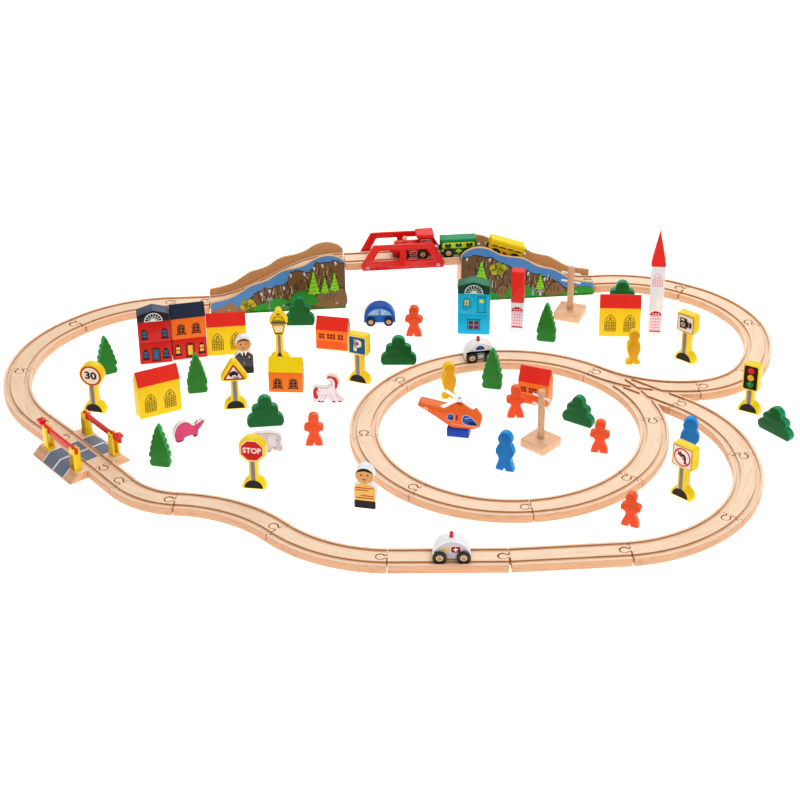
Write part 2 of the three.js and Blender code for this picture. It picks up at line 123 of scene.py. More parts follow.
class Nodes:
    """A small helper around one material's node tree."""

    def __init__(self, name):
        self.material = bpy.data.materials.new(name)
        self.material.use_nodes = True
        self.tree = self.material.node_tree
        self.shader = self.tree.nodes["Principled BSDF"]

    def node(self, kind, **inputs):
        made = self.tree.nodes.new(kind)
        for key, value in inputs.items():
            if key.startswith("_"):
                setattr(made, key[1:], value)
            else:
                made.inputs[key.replace("_", " ")].default_value = value
        return made

    def link(self, source, target):
        self.tree.links.new(source, target)

    def coordinates(self, scale):
        """Object coordinates stretched by scale and shifted by a number of the object's own."""
        coords = self.node("ShaderNodeTexCoord")
        info = self.node("ShaderNodeObjectInfo")
        shift = self.node("ShaderNodeMath", _operation="MULTIPLY")
        shift.inputs[1].default_value = 7.3
        self.link(info.outputs["Random"], shift.inputs[0])
        moved = self.node("ShaderNodeVectorMath", _operation="ADD")
        self.link(coords.outputs["Object"], moved.inputs[0])
        self.link(shift.outputs[0], moved.inputs[1])
        mapped = self.node("ShaderNodeMapping")
        mapped.inputs["Scale"].default_value = scale
        self.link(moved.outputs[0], mapped.inputs["Vector"])
        return mapped.outputs["Vector"]

    def noise(self, scale, vector, detail=4.0, roughness=0.55):
        made = self.node("ShaderNodeTexNoise")
        made.inputs["Scale"].default_value = scale
        made.inputs["Detail"].default_value = detail
        made.inputs["Roughness"].default_value = roughness
        self.link(vector, made.inputs["Vector"])
        return made.outputs["Fac"]

    def ramp(self, value, *stops):
        made = self.node("ShaderNodeValToRGB")
        elements = made.color_ramp.elements
        while len(elements) < len(stops):
            elements.new(0.5)
        for element, (at, colour) in zip(elements, stops):
            element.position = at
            element.color = colour
        self.link(value, made.inputs["Fac"])
        return made.outputs["Color"]

    def mix(self, factor, a, b, blend="MIX"):
        made = self.node("ShaderNodeMix", _data_type="RGBA", _blend_type=blend)
        for source, socket in ((factor, made.inputs[0]), (a, made.inputs[6]), (b, made.inputs[7])):
            if isinstance(source, (int, float, tuple)):
                socket.default_value = source
            else:
                self.link(source, socket)
        return made.outputs[2]

    def span(self, value, low, high):
        made = self.node("ShaderNodeMapRange")
        made.inputs["To Min"].default_value = low
        made.inputs["To Max"].default_value = high
        self.link(value, made.inputs["Value"])
        return made.outputs["Result"]

    def bump(self, value, strength, distance):
        made = self.node("ShaderNodeBump", Strength=strength, Distance=distance)
        self.link(value, made.inputs["Height"])
        self.link(made.outputs["Normal"], self.shader.inputs["Normal"])


def scaled(colour, k):
    """A linear colour made lighter or darker."""
    return (*(min(1.0, c * k) for c in colour[:3]), 1.0)


@functools.cache
def paint(colour, rough=0.42, coat=0.06, grain=0.25):
    """Gloss paint brushed on wood: the grain shows faintly through it."""
    n = Nodes("paint_%d_%d_%d" % colour)
    base = linear(colour)
    streaks = n.noise(60, n.coordinates((6.0, 6.0, 1.0)), 5.0)
    clouds = n.noise(45, n.coordinates((1.0, 1.0, 1.0)), 3.0)
    tone = n.mix(n.span(clouds, 0.0, 1.0), scaled(base, 0.93), scaled(base, 1.06))
    faint = n.ramp(streaks, (0.35, (0.9, 0.9, 0.9, 1)), (0.6, (1, 1, 1, 1)))
    n.link(n.mix(0.5, tone, faint, "MULTIPLY"), n.shader.inputs["Base Color"])
    n.link(n.span(clouds, rough - 0.06, rough + 0.1), n.shader.inputs["Roughness"])
    n.shader.inputs["Coat Weight"].default_value = coat
    n.shader.inputs["Coat Roughness"].default_value = 0.2
    n.shader.inputs["Specular IOR Level"].default_value = 0.28
    n.bump(streaks, grain, 0.00025)
    return n.material


def ink(colour):
    """A printed colour: flat ink with a little of the board's tooth."""
    return paint(colour, 0.45, 0.0, 0.12)


@functools.cache
def plastic(colour, rough=0.22):
    """Moulded plastic, a little uneven in its shine."""
    n = Nodes("plastic_%d_%d_%d" % colour)
    base = linear(colour)
    flow = n.noise(90, n.coordinates((1.0, 1.0, 1.0)), 3.0)
    n.link(n.mix(flow, scaled(base, 0.92), scaled(base, 1.08)), n.shader.inputs["Base Color"])
    n.link(n.span(flow, rough - 0.04, rough + 0.08), n.shader.inputs["Roughness"])
    n.shader.inputs["Specular IOR Level"].default_value = 0.55
    n.bump(flow, 0.08, 0.0003)
    return n.material


@functools.cache
def wood(colour, dark=0.86, fleck=0.8, rough=0.5, name="beech"):
    """Sanded beech: long soft grain, short dark flecks, fine pores."""
    n = Nodes(name + "_%d_%d_%d" % colour)
    base = linear(colour)
    along = n.coordinates((1.0, 9.0, 9.0))
    bands = n.noise(26, along, 4.0, 0.5)
    fine = n.noise(190, along, 6.0, 0.65)
    flecks = n.noise(330, n.coordinates((1.0, 3.6, 3.6)), 2.0, 0.5)
    tone = n.ramp(bands, (0.3, scaled(base, dark)), (0.5, base), (0.72, scaled(base, 1.05)))
    pores = n.ramp(fine, (0.3, (0.84, 0.8, 0.76, 1)), (0.62, (1, 1, 1, 1)))
    tone = n.mix(0.55, tone, pores, "MULTIPLY")
    dashes = n.ramp(flecks, (0.60, (1, 1, 1, 1)), (0.72, (fleck, fleck * 0.9, fleck * 0.8, 1)))
    tone = n.mix(0.8, tone, dashes, "MULTIPLY")
    n.link(tone, n.shader.inputs["Base Color"])
    n.link(n.span(fine, rough - 0.08, rough + 0.12), n.shader.inputs["Roughness"])
    n.shader.inputs["Coat Weight"].default_value = 0.08
    n.bump(fine, 0.22, 0.0002)
    return n.material


@functools.cache
def board(colour):
    """Bare fibreboard, speckled."""
    n = Nodes("board_%d_%d_%d" % colour)
    base = linear(colour)
    speck = n.noise(900, n.coordinates((1.0, 1.0, 1.0)), 2.0)
    tone = n.ramp(speck, (0.35, scaled(base, 0.75)), (0.5, base), (0.66, scaled(base, 1.2)))
    n.link(tone, n.shader.inputs["Base Color"])
    n.shader.inputs["Roughness"].default_value = 0.75
    n.bump(speck, 0.3, 0.0002)
    return n.material


@functools.cache
def steel():
    """Plated steel with fine scratches."""
    n = Nodes("steel")
    scratches = n.noise(500, n.coordinates((1.0, 1.0, 6.0)), 4.0)
    n.link(n.mix(scratches, (0.42, 0.43, 0.45, 1), (0.72, 0.73, 0.75, 1)),
           n.shader.inputs["Base Color"])
    n.shader.inputs["Metallic"].default_value = 1.0
    n.link(n.span(scratches, 0.25, 0.45), n.shader.inputs["Roughness"])
    n.bump(scratches, 0.1, 0.0001)
    return n.material


BEECH = (252, 220, 188)
BLACK = (26, 24, 26)
WHITE = (244, 244, 244)
# roughness and coat of the glossier paint
ENAMEL = (0.36, 0.1)


def track_top():
    return wood(BEECH, 0.9, 0.82, 0.48)


# A darker copy of the track's beech for its sides, ends and tab sides: painted shade.
def shaded_track_side():
    return wood((232, 182, 144), 0.84, 0.8, 0.6, "beech_edge_painted_shade")


# A still darker copy of the beech for the walls of grooves and sockets: painted shade in the
# recesses.
def shaded_cut_wood():
    return wood((205, 150, 108), 0.8, 0.75, 0.7, "beech_cut_painted_shade")


# ---- mesh code ------------------------------------------------------------------------
def signed_area(points):
    return sum(a[0] * b[1] - b[0] * a[1] for a, b in zip(points, points[1:] + points[:1])) / 2


def inset(points, distance):
    """A closed outline moved inwards, mitred at its corners."""
    turn = 1 if signed_area(points) > 0 else -1
    count = len(points)
    moved = []
    for i, (x, y) in enumerate(points):
        px, py = points[i - 1]
        nx, ny = points[(i + 1) % count]
        ax, ay = x - px, y - py
        bx, by = nx - x, ny - y
        la, lb = hypot(ax, ay) or 1, hypot(bx, by) or 1
        n1 = (-ay / la * turn, ax / la * turn)
        n2 = (-by / lb * turn, bx / lb * turn)
        mx, my = n1[0] + n2[0], n1[1] + n2[1]
        scale = distance / max(0.35, (mx * mx + my * my) / 2)
        moved.append((x + mx * scale, y + my * scale))
    return moved


def circle(x, z, radius, count=28, start=0.0, stop=360.0):
    """Points round a circle, or along an arc of one."""
    full = abs(stop - start) >= 360
    steps = count if full else count - 1
    return [
        (x + radius * cos(radians(start + (stop - start) * i / steps)),
         z + radius * sin(radians(start + (stop - start) * i / steps)))
        for i in range(count)
    ]


def rect(x0, x1, z0, z1):
    return [(x0, z0), (x1, z0), (x1, z1), (x0, z1)]


def rounded(points, radius, steps=4):
    """An outline with its corners rounded."""
    out = []
    count = len(points)
    for i, (x, y) in enumerate(points):
        px, py = points[i - 1]
        nx, ny = points[(i + 1) % count]
        la, lb = hypot(px - x, py - y), hypot(nx - x, ny - y)
        r = min(radius, la * 0.45, lb * 0.45)
        a = (x + (px - x) / la * r, y + (py - y) / la * r)
        b = (x + (nx - x) / lb * r, y + (ny - y) / lb * r)
        for k in range(steps + 1):
            t = k / steps
            out.append(tuple((1 - t) ** 2 * a[j] + 2 * t * (1 - t) * (x, y)[j] + t * t * b[j]
                             for j in (0, 1)))
    return out


def tile(x0, x1, z0, z1, radius, steps=4):
    """A rectangle with rounded corners."""
    return rounded(rect(x0, x1, z0, z1), radius, steps)


def spline(points, steps=4, closed=True):
    """A smooth curve through the points."""
    count = len(points)
    out = []
    for i in range(count if closed else count - 1):
        p = [points[(i + k) % count] if closed else points[min(max(i + k, 0), count - 1)]
             for k in (-1, 0, 1, 2)]
        for s in range(steps):
            t = s / steps
            out.append(tuple(
                0.5 * (2 * p[1][j] + (p[2][j] - p[0][j]) * t
                       + (2 * p[0][j] - 5 * p[1][j] + 4 * p[2][j] - p[3][j]) * t * t
                       + (3 * p[1][j] - p[0][j] - 3 * p[2][j] + p[3][j]) * t ** 3)
                for j in (0, 1)))
    if not closed:
        out.append(points[-1])
    return out


def mirrored(right):
    """A closed outline from its right half, bottom to top."""
    left = [(-x, z) for x, z in reversed(right) if x > 1e-6]
    return right + left


def arch(x, z0, width, height):
    """A pointed window."""
    half, steps = width / 2, 6
    spring = z0 + height - width * 0.8
    curve = []
    for i in range(steps + 1):
        t = i / steps
        curve.append((x + half * cos(t * pi / 2) ** 0.8, spring + width * 0.8 * t))
    left = [(2 * x - a, b) for a, b in reversed(curve[:-1])]
    return [(x - half, z0), (x + half, z0)] + curve + left


def quad(low, high, i, count):
    """The face between two rings of count points, from point i to the next."""
    j = (i + 1) % count
    return [low * count + i, low * count + j, high * count + j, high * count + i]


# a print stands this far off its face for each layer, and its edges go this far into the face
PRINT_STEP, PRINT_SUNK = 0.12, 0.1
# edges that turn by more than this are sharp
SHARP = radians(38)


class Shape:
    """One visible piece, put together in its own frame: X along, Y to the back, Z up."""

    def __init__(self):
        self.verts = []
        self.faces = []
        self.slots = []
        self.flat = []
        self.materials = []

    def slot(self, material):
        if material not in self.materials:
            self.materials.append(material)
        return self.materials.index(material)

    def add(self, verts, faces, material, flat=None, at=None):
        base = len(self.verts)
        for v in verts:
            point = Vector(v)
            self.verts.append(at @ point if at else point)
        index = self.slot(material)
        for i, face in enumerate(faces):
            self.faces.append([base + k for k in face])
            self.slots.append(index)
            self.flat.append(bool(flat and flat[i]))

    def rings(self, rings, material, cap=True, at=None, cap_material=None):
        """Joins rings of equal length; the two ends are closed with flat faces."""
        count = len(rings[0])
        verts = [v for ring in rings for v in ring]
        faces = [quad(r, r + 1, i, count) for r in range(len(rings) - 1) for i in range(count)]
        self.add(verts, faces, material, None, at)
        if cap:
            base = len(self.verts) - len(verts)
            index = self.slot(cap_material or material)
            last = (len(rings) - 1) * count
            for ring in ([base + i for i in range(count)][::-1],
                         [base + last + i for i in range(count)]):
                self.faces.append(ring)
                self.slots.append(index)
                self.flat.append(True)

    def slab(self, outline, y0, y1, material, bevel=0.6, at=None, face=None, steps=2):
        """A front-view outline (x, z) given thickness from y0 (front) to y1, its edges rounded."""
        if bevel:
            front = [[(x, y0 + bevel * (1 - cos(pi / 2 * k / steps)), z)
                      for x, z in inset(outline, bevel * (1 - sin(pi / 2 * k / steps)))]
                     for k in range(steps + 1)]
            back = [[(x, y1 - (y - y0), z) for x, y, z in ring] for ring in reversed(front)]
            rings = front + back
        else:
            rings = [[(x, y0, z) for x, z in outline], [(x, y1, z) for x, z in outline]]
        self.rings(rings, material, True, at, cap_material=face)

    def print(self, outline, material, layer=1, front=0.0, at=None):
        """A printed patch on the front face."""
        depths = (front - PRINT_STEP * layer, front + PRINT_SUNK)
        self.rings([[(x, y, z) for x, z in outline] for y in depths], material, True, at)

    def ring_print(self, x, z, outer, inner, material, layer=1, front=0.0, at=None, count=32,
                   start=0.0, stop=360.0):
        """A printed ring, or an arc of one."""
        full = stop - start >= 360
        a = circle(x, z, outer, count, start, stop)
        b = circle(x, z, inner, count, start, stop)
        if full:
            y0, y1 = front - PRINT_STEP * layer, front + PRINT_SUNK
            verts = [(p, y, q) for y, edge in ((y1, a), (y0, a), (y0, b), (y1, b)) for p, q in edge]
            faces = [quad(r, (r + 1) % 4, i, count) for r in range(4) for i in range(count)]
            self.add(verts, faces, material, [True] * len(faces), at)
        else:
            self.print(a + b[::-1], material, layer, front, at)

    def text(self, words, size, x, z, material, layer=1, squeeze=1.0):
        """Printed letters, centred on (x, z)."""
        curve = bpy.data.curves.new("letters", "FONT")
        curve.body = words
        curve.align_x = "CENTER"
        curve.align_y = "CENTER"
        curve.extrude = 0.08
        curve.offset = 0.035
        curve.resolution_u = 4
        made = linked("letters", curve)
        bpy.context.view_layer.update()
        mesh = made.to_mesh()
        verts = [(x + v.co.x * size * squeeze, PRINT_SUNK - PRINT_STEP * layer - v.co.z,
                  z + v.co.y * size) for v in mesh.vertices]
        faces = [list(f.vertices) for f in mesh.polygons]
        self.add(verts, faces, material, [True] * len(faces))
        made.to_mesh_clear()
        bpy.data.objects.remove(made)

    def lathe(self, profile, material, axis="Z", at=None, count=28):
        """Turns a profile of (radius, height) about an axis; it starts and ends on the axis."""
        rings = []
        for radius, height in profile:
            ring = []
            for i in range(count):
                a = 2 * pi * i / count
                c, s = max(radius, 0.001) * cos(a), max(radius, 0.001) * sin(a)
                ring.append({"Z": (c, s, height), "Y": (c, height, -s), "X": (height, c, s)}[axis])
            rings.append(ring)
        self.rings(rings, material, True, at)

    def box(self, x0, x1, y0, y1, z0, z1, material, bevel=0.5, at=None):
        self.slab(tile(x0, x1, z0, z1, bevel * 1.2, 3), y0, y1, material, bevel, at)

    def mesh(self, name):
        """The shape as a mesh in metres, its normals outwards."""
        mesh = bpy.data.meshes.new(name)
        mesh.from_pydata([v * MM for v in self.verts], [], self.faces)
        for material in self.materials:
            mesh.materials.append(material)
        for polygon, slot, flat in zip(mesh.polygons, self.slots, self.flat):
            polygon.material_index = slot
            polygon.use_smooth = not flat
        tidy = bmesh.new()
        tidy.from_mesh(mesh)
        bmesh.ops.recalc_face_normals(tidy, faces=tidy.faces)
        tidy.to_mesh(mesh)
        tidy.free()
        mesh.set_sharp_from_angle(angle=SHARP)
        return mesh

    def piece(self, name, body, slot, place, replaces=()):
        hand_over(linked(name, self.mesh(name)), body, place, replaces)


def hand_over(made, body, place, replaces=()):
    """Puts a finished object in its place, on its body, and hides the parts it replaces."""
    made.matrix_world = place
    made.matrix_world.translation = place.translation * MM
    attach(made, body)
    for node in replaces:
        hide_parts(node)


def spot(x, y, yaw=0.0, z=0.0):
    """A place in the frame, from a place measured from the circle's centre."""
    return move(x + CIRCLE[0], y + CIRCLE[1], z) @ turned(yaw)


def shifted(place, x=0.0, y=0.0, z=0.0, turn=0.0):
    """A place moved and turned in its own frame."""
    return place @ move(x, y, z) @ turned(turn)


def loose(shape, name):
    """A shape as an object that still has to be cut or joined."""
    return linked(name, shape.mesh(name))


def join(made, more):
    """Adds a shape's faces to an object's mesh; both list their materials in the same order."""
    joined = bmesh.new()
    joined.from_mesh(made.data)
    joined.from_mesh(more.mesh("more"))
    joined.to_mesh(made.data)
    joined.free()
    made.data.set_sharp_from_angle(angle=SHARP)


def boolean(target, shape, operation="DIFFERENCE", overlapping=False):
    """Cuts a shape out of an object, or joins it on."""
    cutter = loose(shape, "cutter")
    modifier = target.modifiers.new("cut", "BOOLEAN")
    modifier.operation = operation
    modifier.object = cutter
    modifier.solver = "EXACT"
    modifier.use_self = overlapping
    bpy.context.view_layer.update()
    solved = target.evaluated_get(bpy.context.evaluated_depsgraph_get())
    result = bpy.data.meshes.new_from_object(solved)
    target.modifiers.clear()
    target.data = result
    bpy.data.objects.remove(cutter)


# ---- track ----------------------------------------------------------------------------
WIDTH, HEIGHT, GROOVE = 40.0, 12.0, 3.0
GROOVE_IN, GROOVE_OUT = 10.0, 16.0
TAB_REACH, SOCKET_REACH, TAB_RADIUS, TAB_NECK, CLEARANCE = 9.0, 7.6, 5.5, 2.5, 1.4
JOINT_GAP, CORNER_GAP, END_TRIM = 1.0, 0.4, 0.5
# a face whose normal is this upright is level, and shaded flat
LEVEL = 0.9995
LONG, TIGHT, SHORT = 200.0, 186.0, 110.0
RAMP, DECK, DECK_TOP, RAMP_FLAT = 208.0, 176.0, 74.0, 20.0
SWITCH_ANGLE, GAP_ANGLE = 50.3, 0.3

LENGTHS = {"straight": 151.5, "short": 52.0, "adaptor": 54.0, "crossing": 100.0, "ramp": RAMP,
           "deck": DECK}
LINE = {name: [("line", length)] for name, length in LENGTHS.items()}
CURVE_LONG = [("arc", LONG, 45.0)]
CURVE_BACK = [("arc", LONG, -45.0)]
CURVE_TIGHT = [("arc", TIGHT, 45.0)]
CURVE_SHORT = [("arc", SHORT, 45.0)]
CIRCLE_CURVE = [("arc", LONG, -(45.0 - GAP_ANGLE))]
SWITCH = ([("line", 12.0), ("arc", 187.0, 45.0)], [("line", 144.0)], CIRCLE_CURVE)


def stations(path, extra=0.0):
    """Points along a path with their headings: (x, y, heading)."""
    out = [(0.0, 0.0, 0.0)]
    for leg in path:
        x, y, h = out[-1]
        if leg[0] == "line":
            count = max(2, int(leg[1] / 20))
            for i in range(1, count + 1):
                s = leg[1] * i / count
                out.append((x + s * cos(h), y + s * sin(h), h))
            continue
        radius, turn = leg[1], radians(leg[2])
        side = 1 if turn > 0 else -1
        cx, cy = x - side * radius * sin(h), y + side * radius * cos(h)
        count = max(4, int(abs(leg[2]) / 1.5))
        for i in range(1, count + 1):
            a = h + turn * i / count
            out.append((cx + side * radius * sin(a), cy - side * radius * cos(a), a))
    if extra:
        x, y, h = out[0]
        out.insert(0, (x - extra * cos(h), y - extra * sin(h), h))
        x, y, h = out[-1]
        out.append((x + extra * cos(h), y + extra * sin(h), h))
    return out


def eased(path, trim):
    """Stations with one more close to each end, where the end edges are broken."""
    points = stations(path)
    (x0, y0, h0), (x1, y1, h1) = points[0], points[-1]
    near = (x0 + trim * cos(h0), y0 + trim * sin(h0), h0)
    far = (x1 - trim * cos(h1), y1 - trim * sin(h1), h1)
    return [points[0], near] + points[1:-1] + [far, points[-1]]


def plank_section(grooved=True, wings=None):
    """Half of the end view from the bottom centre outwards to the top centre, mirrored."""
    half = WIDTH / 2
    if wings:
        right = [(wings[0], 0), (wings[1] + 0.6, HEIGHT - 0.5), (wings[1] - 0.5, HEIGHT)]
    else:
        right = [(half - 0.6, 0), (half, 0.6), (half, HEIGHT - 1.1), (half - 0.32, HEIGHT - 0.32),
                 (half - 1.1, HEIGHT)]
    if grooved:
        top, floor = HEIGHT, HEIGHT - GROOVE
        right += [(GROOVE_OUT + 0.45, top), (GROOVE_OUT, top - 0.45), (GROOVE_OUT, floor + 0.4),
                  (GROOVE_OUT - 0.4, floor), (GROOVE_IN + 0.4, floor), (GROOVE_IN, floor + 0.4),
                  (GROOVE_IN, top - 0.45), (GROOVE_IN - 0.45, top)]
    left = [(-y, z) for y, z in reversed(right)]
    return right + left


def sweep(shape, path, section, z=0.0, lift=None, at=None):
    """Runs an end view along a path; the groove walls and the sides get darker copies of the top's
    wood, painted shade.
    """
    points = eased(path, END_TRIM)
    walked = [0.0]
    for a, b in zip(points, points[1:]):
        walked.append(walked[-1] + hypot(b[0] - a[0], b[1] - a[1]))
    rings = []
    for i, (x, y, h) in enumerate(points):
        outline = inset(section, END_TRIM) if i in (0, len(points) - 1) else section
        up = z + (lift(walked[i]) if lift else 0.0)
        rings.append([(x - a * sin(h), y + a * cos(h), b + up) for a, b in outline])
    count = len(section)
    verts = [v for ring in rings for v in ring]
    kinds = {}
    for i in range(count):
        a, b = section[i], section[(i + 1) % count]
        middle = ((a[0] + b[0]) / 2, (a[1] + b[1]) / 2)
        across, high = abs(middle[0]), middle[1]
        in_groove = GROOVE_IN - 0.1 < across < GROOVE_OUT + 0.1 and high > HEIGHT - GROOVE - 0.2
        # the groove walls take the darkest wood and the sides the darker side wood: painted shade
        if in_groove and abs(a[1] - b[1]) > 1.0:
            kind = shaded_cut_wood()
        elif in_groove or high > HEIGHT - 0.5:
            kind = track_top()
        else:
            kind = shaded_track_side()
        kinds.setdefault(kind, []).append(i)
    base = len(shape.verts)
    shape.add(verts, [], track_top(), None, at)
    for kind, columns in kinds.items():
        index = shape.slot(kind)
        for r in range(len(rings) - 1):
            for i in columns:
                shape.faces.append([base + k for k in quad(r, r + 1, i, count)])
                shape.slots.append(index)
                shape.flat.append(False)
    # the end faces take the darker side wood: painted shade
    index = shape.slot(shaded_track_side())
    last = (len(rings) - 1) * count
    for ring in ([base + i for i in range(count)], [base + last + i for i in range(count)]):
        shape.faces.append(ring)
        shape.slots.append(index)
        shape.flat.append(True)


def jigsaw(neck, radius, reach, start=-0.7):
    """The plan of a tab or socket: a neck that ends in a round head."""
    lead = asin(neck / radius)
    count = 20
    points = [(start, -neck)]
    for i in range(count + 1):
        a = -(pi - lead) + 2 * (pi - lead) * i / count
        points.append((reach + radius * cos(a), radius * sin(a)))
    return points + [(start, neck)]


def raised(shape, outline, z0, z1, material, bevel=0.0, at=None, side=None):
    """A plan-view outline given height."""
    rings = [[(x, y, z0) for x, y in outline]]
    if bevel:
        rings.append([(x, y, z1 - bevel) for x, y in outline])
        rings.append([(x, y, z1) for x, y in inset(outline, bevel)])
    else:
        rings.append([(x, y, z1) for x, y in outline])
    shape.rings(rings, side or material, True, at, cap_material=material)


def end_place(path):
    """Where a path ends, from where it starts."""
    x, y, h = stations(path)[-1]
    return move(x, y, 0) @ Matrix.Rotation(h, 4, "Z")


def add_tab(shape, at, z=0.0):
    # the tab's sides take the darker side wood: painted shade
    raised(shape, jigsaw(TAB_NECK, TAB_RADIUS, TAB_REACH), z + 0.02, z + HEIGHT, track_top(), 0.45,
           at, shaded_track_side())


def track_shape():
    """A shape whose first three slots are the track's top wood and its darker side and cut wood,
    which are painted shade.
    """
    made = Shape()
    for material in (track_top(), shaded_track_side(), shaded_cut_wood()):
        made.slot(material)
    return made


HALF_TURN = Matrix.Rotation(pi, 4, "Z")


def cut_socket(piece, at, z=0.0):
    cutter = track_shape()
    outline = jigsaw(TAB_NECK + CLEARANCE, TAB_RADIUS + CLEARANCE, SOCKET_REACH, -2.0)
    # the socket's walls take the darker cut wood: painted shade
    raised(cutter, outline, z - 1, z + HEIGHT + 1, shaded_cut_wood(), 0.0, at)
    boolean(piece, cutter)


def grain_turn(path):
    """Boards are cut with the grain along the chord of a curve."""
    x, y, _ = stations(path)[-1]
    return atan2(y, x)


def finish_track(made, more, place, node):
    """Joins the tabs to a plank and hands the piece over."""
    join(made, more)
    for face in made.data.polygons:
        if abs(face.normal.z) > LEVEL:
            face.use_smooth = False
    hand_over(made, "root", place, [node])


def track(name, path, ends, place, z=0.0, lift=None, wings=None, extra=None):
    """One grooved plank along a path, with a tab or socket at each end."""
    turn = Matrix.Rotation(-grain_turn(path), 4, "Z")
    shape = track_shape()
    sweep(shape, path, plank_section(wings=wings), z, lift, at=turn)
    made = loose(shape, "track_" + name)
    more = track_shape()
    start, finish = turn @ HALF_TURN, turn @ end_place(path)
    heights = (z + (lift(0.0) if lift else 0.0), z + (lift(path[0][1]) if lift else 0.0))
    for at, joint, height in zip((start, finish), ends, heights):
        if joint == "tab":
            add_tab(more, at, height)
        else:
            cut_socket(made, at @ HALF_TURN, height)
    if extra:
        extra(more, turn)
    finish_track(made, more, place @ turn.inverted(), name)


def on_circle(angle):
    """A point on the track circle, from its centre."""
    a = radians(angle)
    return LONG * cos(a), LONG * sin(a)


def switch():
    """The three-way switch: three planks joined, then grooved together."""
    place = spot(*on_circle(SWITCH_ANGLE), SWITCH_ANGLE - 90)
    whole = None
    plain = plank_section(grooved=False)
    for path in SWITCH:
        strip = track_shape()
        sweep(strip, path, plain)
        if whole is None:
            whole = loose(strip, "track_switch_track")
        else:
            boolean(whole, strip, "UNION")
    cut = track_shape()
    for path in SWITCH:
        for side in (-1, 1):
            low, high = sorted((side * GROOVE_IN, side * GROOVE_OUT))
            points = stations(path, 1.0)
            edge = [[(x - a * sin(h), y + a * cos(h)) for x, y, h in points] for a in (low, high)]
            # the groove walls take the darker cut wood: painted shade
            raised(cut, edge[0] + edge[1][::-1], HEIGHT - GROOVE, HEIGHT + 1, track_top(),
                   side=shaded_cut_wood())
    boolean(whole, cut, overlapping=True)
    cut_socket(whole, Matrix.Identity(4))
    tabs = track_shape()
    for path in SWITCH:
        add_tab(tabs, end_place(path))
    finish_track(whole, tabs, place, "switch_track")


def ramp_top(u):
    """The ramp's height, u from its high end."""
    t = min(1.0, max(0.0, (u - RAMP_FLAT) / (RAMP - RAMP_FLAT)))
    return HEIGHT + (DECK_TOP - HEIGHT) * (0.5 + 0.5 * cos(pi * t))


LOOP = [
    ("right_short_curve", CURVE_SHORT, "st", 1.34), ("right_curve_1", CURVE_TIGHT, "st", 4.6),
    ("right_curve_2", CURVE_TIGHT, "st", 2.34), ("right_curve_3", CURVE_TIGHT, "st", -4.42),
    ("ramp_right", LINE["ramp"], "st", -3.86), ("bridge_deck", LINE["deck"], "st", -0.19),
    ("ramp_left", LINE["ramp"], "st", -0.11), ("short_straight", LINE["short"], "st", -2.24),
    ("left_curve_1", CURVE_LONG, "st", -1.78), ("left_curve_2", CURVE_LONG, "st", -3.62),
    ("left_curve_3", CURVE_LONG, "st", -0.8), ("adaptor_left", LINE["adaptor"], "st", -1.55),
    ("crossing_track", LINE["crossing"], "st", -1.62),
    ("adaptor_right", LINE["adaptor"], "ss", -0.43),
    ("front_short_curve", CURVE_SHORT, "ts", -0.3), ("s_curve_1", CURVE_BACK, "ts", 2.57),
    ("s_curve_2", CURVE_LONG, "ts", 2.29), ("straight_1", LINE["straight"], "ts", 1.96),
    ("straight_2", LINE["straight"], "ts", 4.44), ("corner_curve_1", CURVE_LONG, "ts", 3.04),
    ("corner_curve_2", CURVE_LONG, "ts", 0.93), ("corner_curve_3", CURVE_LONG, "ts", -2.59),
]
ENDS = {"s": "socket", "t": "tab"}
PLACES = {}


def lay_track():
    """The circle's curves, then the loop piece by piece, each turned by its play."""
    switch()
    for i in range(1, 8):
        angle = SWITCH_ANGLE - 45.0 * i
        track("circle_curve_%d" % i, CIRCLE_CURVE, ("socket", "tab"),
              spot(*on_circle(angle), angle - 90))
    place = spot(*on_circle(SWITCH_ANGLE), SWITCH_ANGLE - 90) @ end_place(SWITCH[0])
    for name, path, ends, play in LOOP:
        gap = max(JOINT_GAP, WIDTH / 2 * abs(tan(radians(play))) + CORNER_GAP)
        place = shifted(place, turn=play) @ move(gap, 0, 0)
        PLACES[name] = place.copy()
        joints = (ENDS[ends[0]], ENDS[ends[1]])
        if name == "bridge_deck":
            track(name, path, joints, place, DECK_TOP - HEIGHT)
        elif name == "ramp_left":
            track(name, path, joints, place, lift=lambda s: ramp_top(s) - HEIGHT,
                  extra=ramp_leg(0.0))
        elif name == "ramp_right":
            track(name, path, joints, place, lift=lambda s: ramp_top(RAMP - s) - HEIGHT,
                  extra=ramp_leg(RAMP - 10))
        elif name == "crossing_track":
            track(name, path, joints, place, wings=(48.0, 34.0))
        else:
            track(name, path, joints, place)
        place = place @ end_place(path)


def ramp_leg(x):
    """A block under the ramp's high end."""
    def add(shape, at):
        # the leg takes the darker side wood: painted shade under the ramp
        shape.box(x + 0.3, x + 9.7, -19.6, 19.6, 0, DECK_TOP - HEIGHT + 0.5, shaded_track_side(), 0.5, at)
    return add


lay_track()


# ---- small makers ---------------------------------------------------------------------
QUARTER = Matrix.Rotation(pi / 2, 4, "Z")
BOTH_SIDES = (Matrix.Identity(4), HALF_TURN)
CAR_SIDE = 10.0


def beam(shape, outline, x0, x1, material, bevel):
    """An end-view outline (y, z) run along X, its edges rounded."""
    shape.slab(outline, -x1, -x0, material, bevel, QUARTER)


def line(x0, z0, x1, z1, width):
    """The outline of a straight stroke."""
    length = hypot(x1 - x0, z1 - z0)
    nx, nz = -(z1 - z0) / length * width / 2, (x1 - x0) / length * width / 2
    return [(x0 - nx, z0 - nz), (x1 - nx, z1 - nz), (x1 + nx, z1 + nz), (x0 + nx, z0 + nz)]


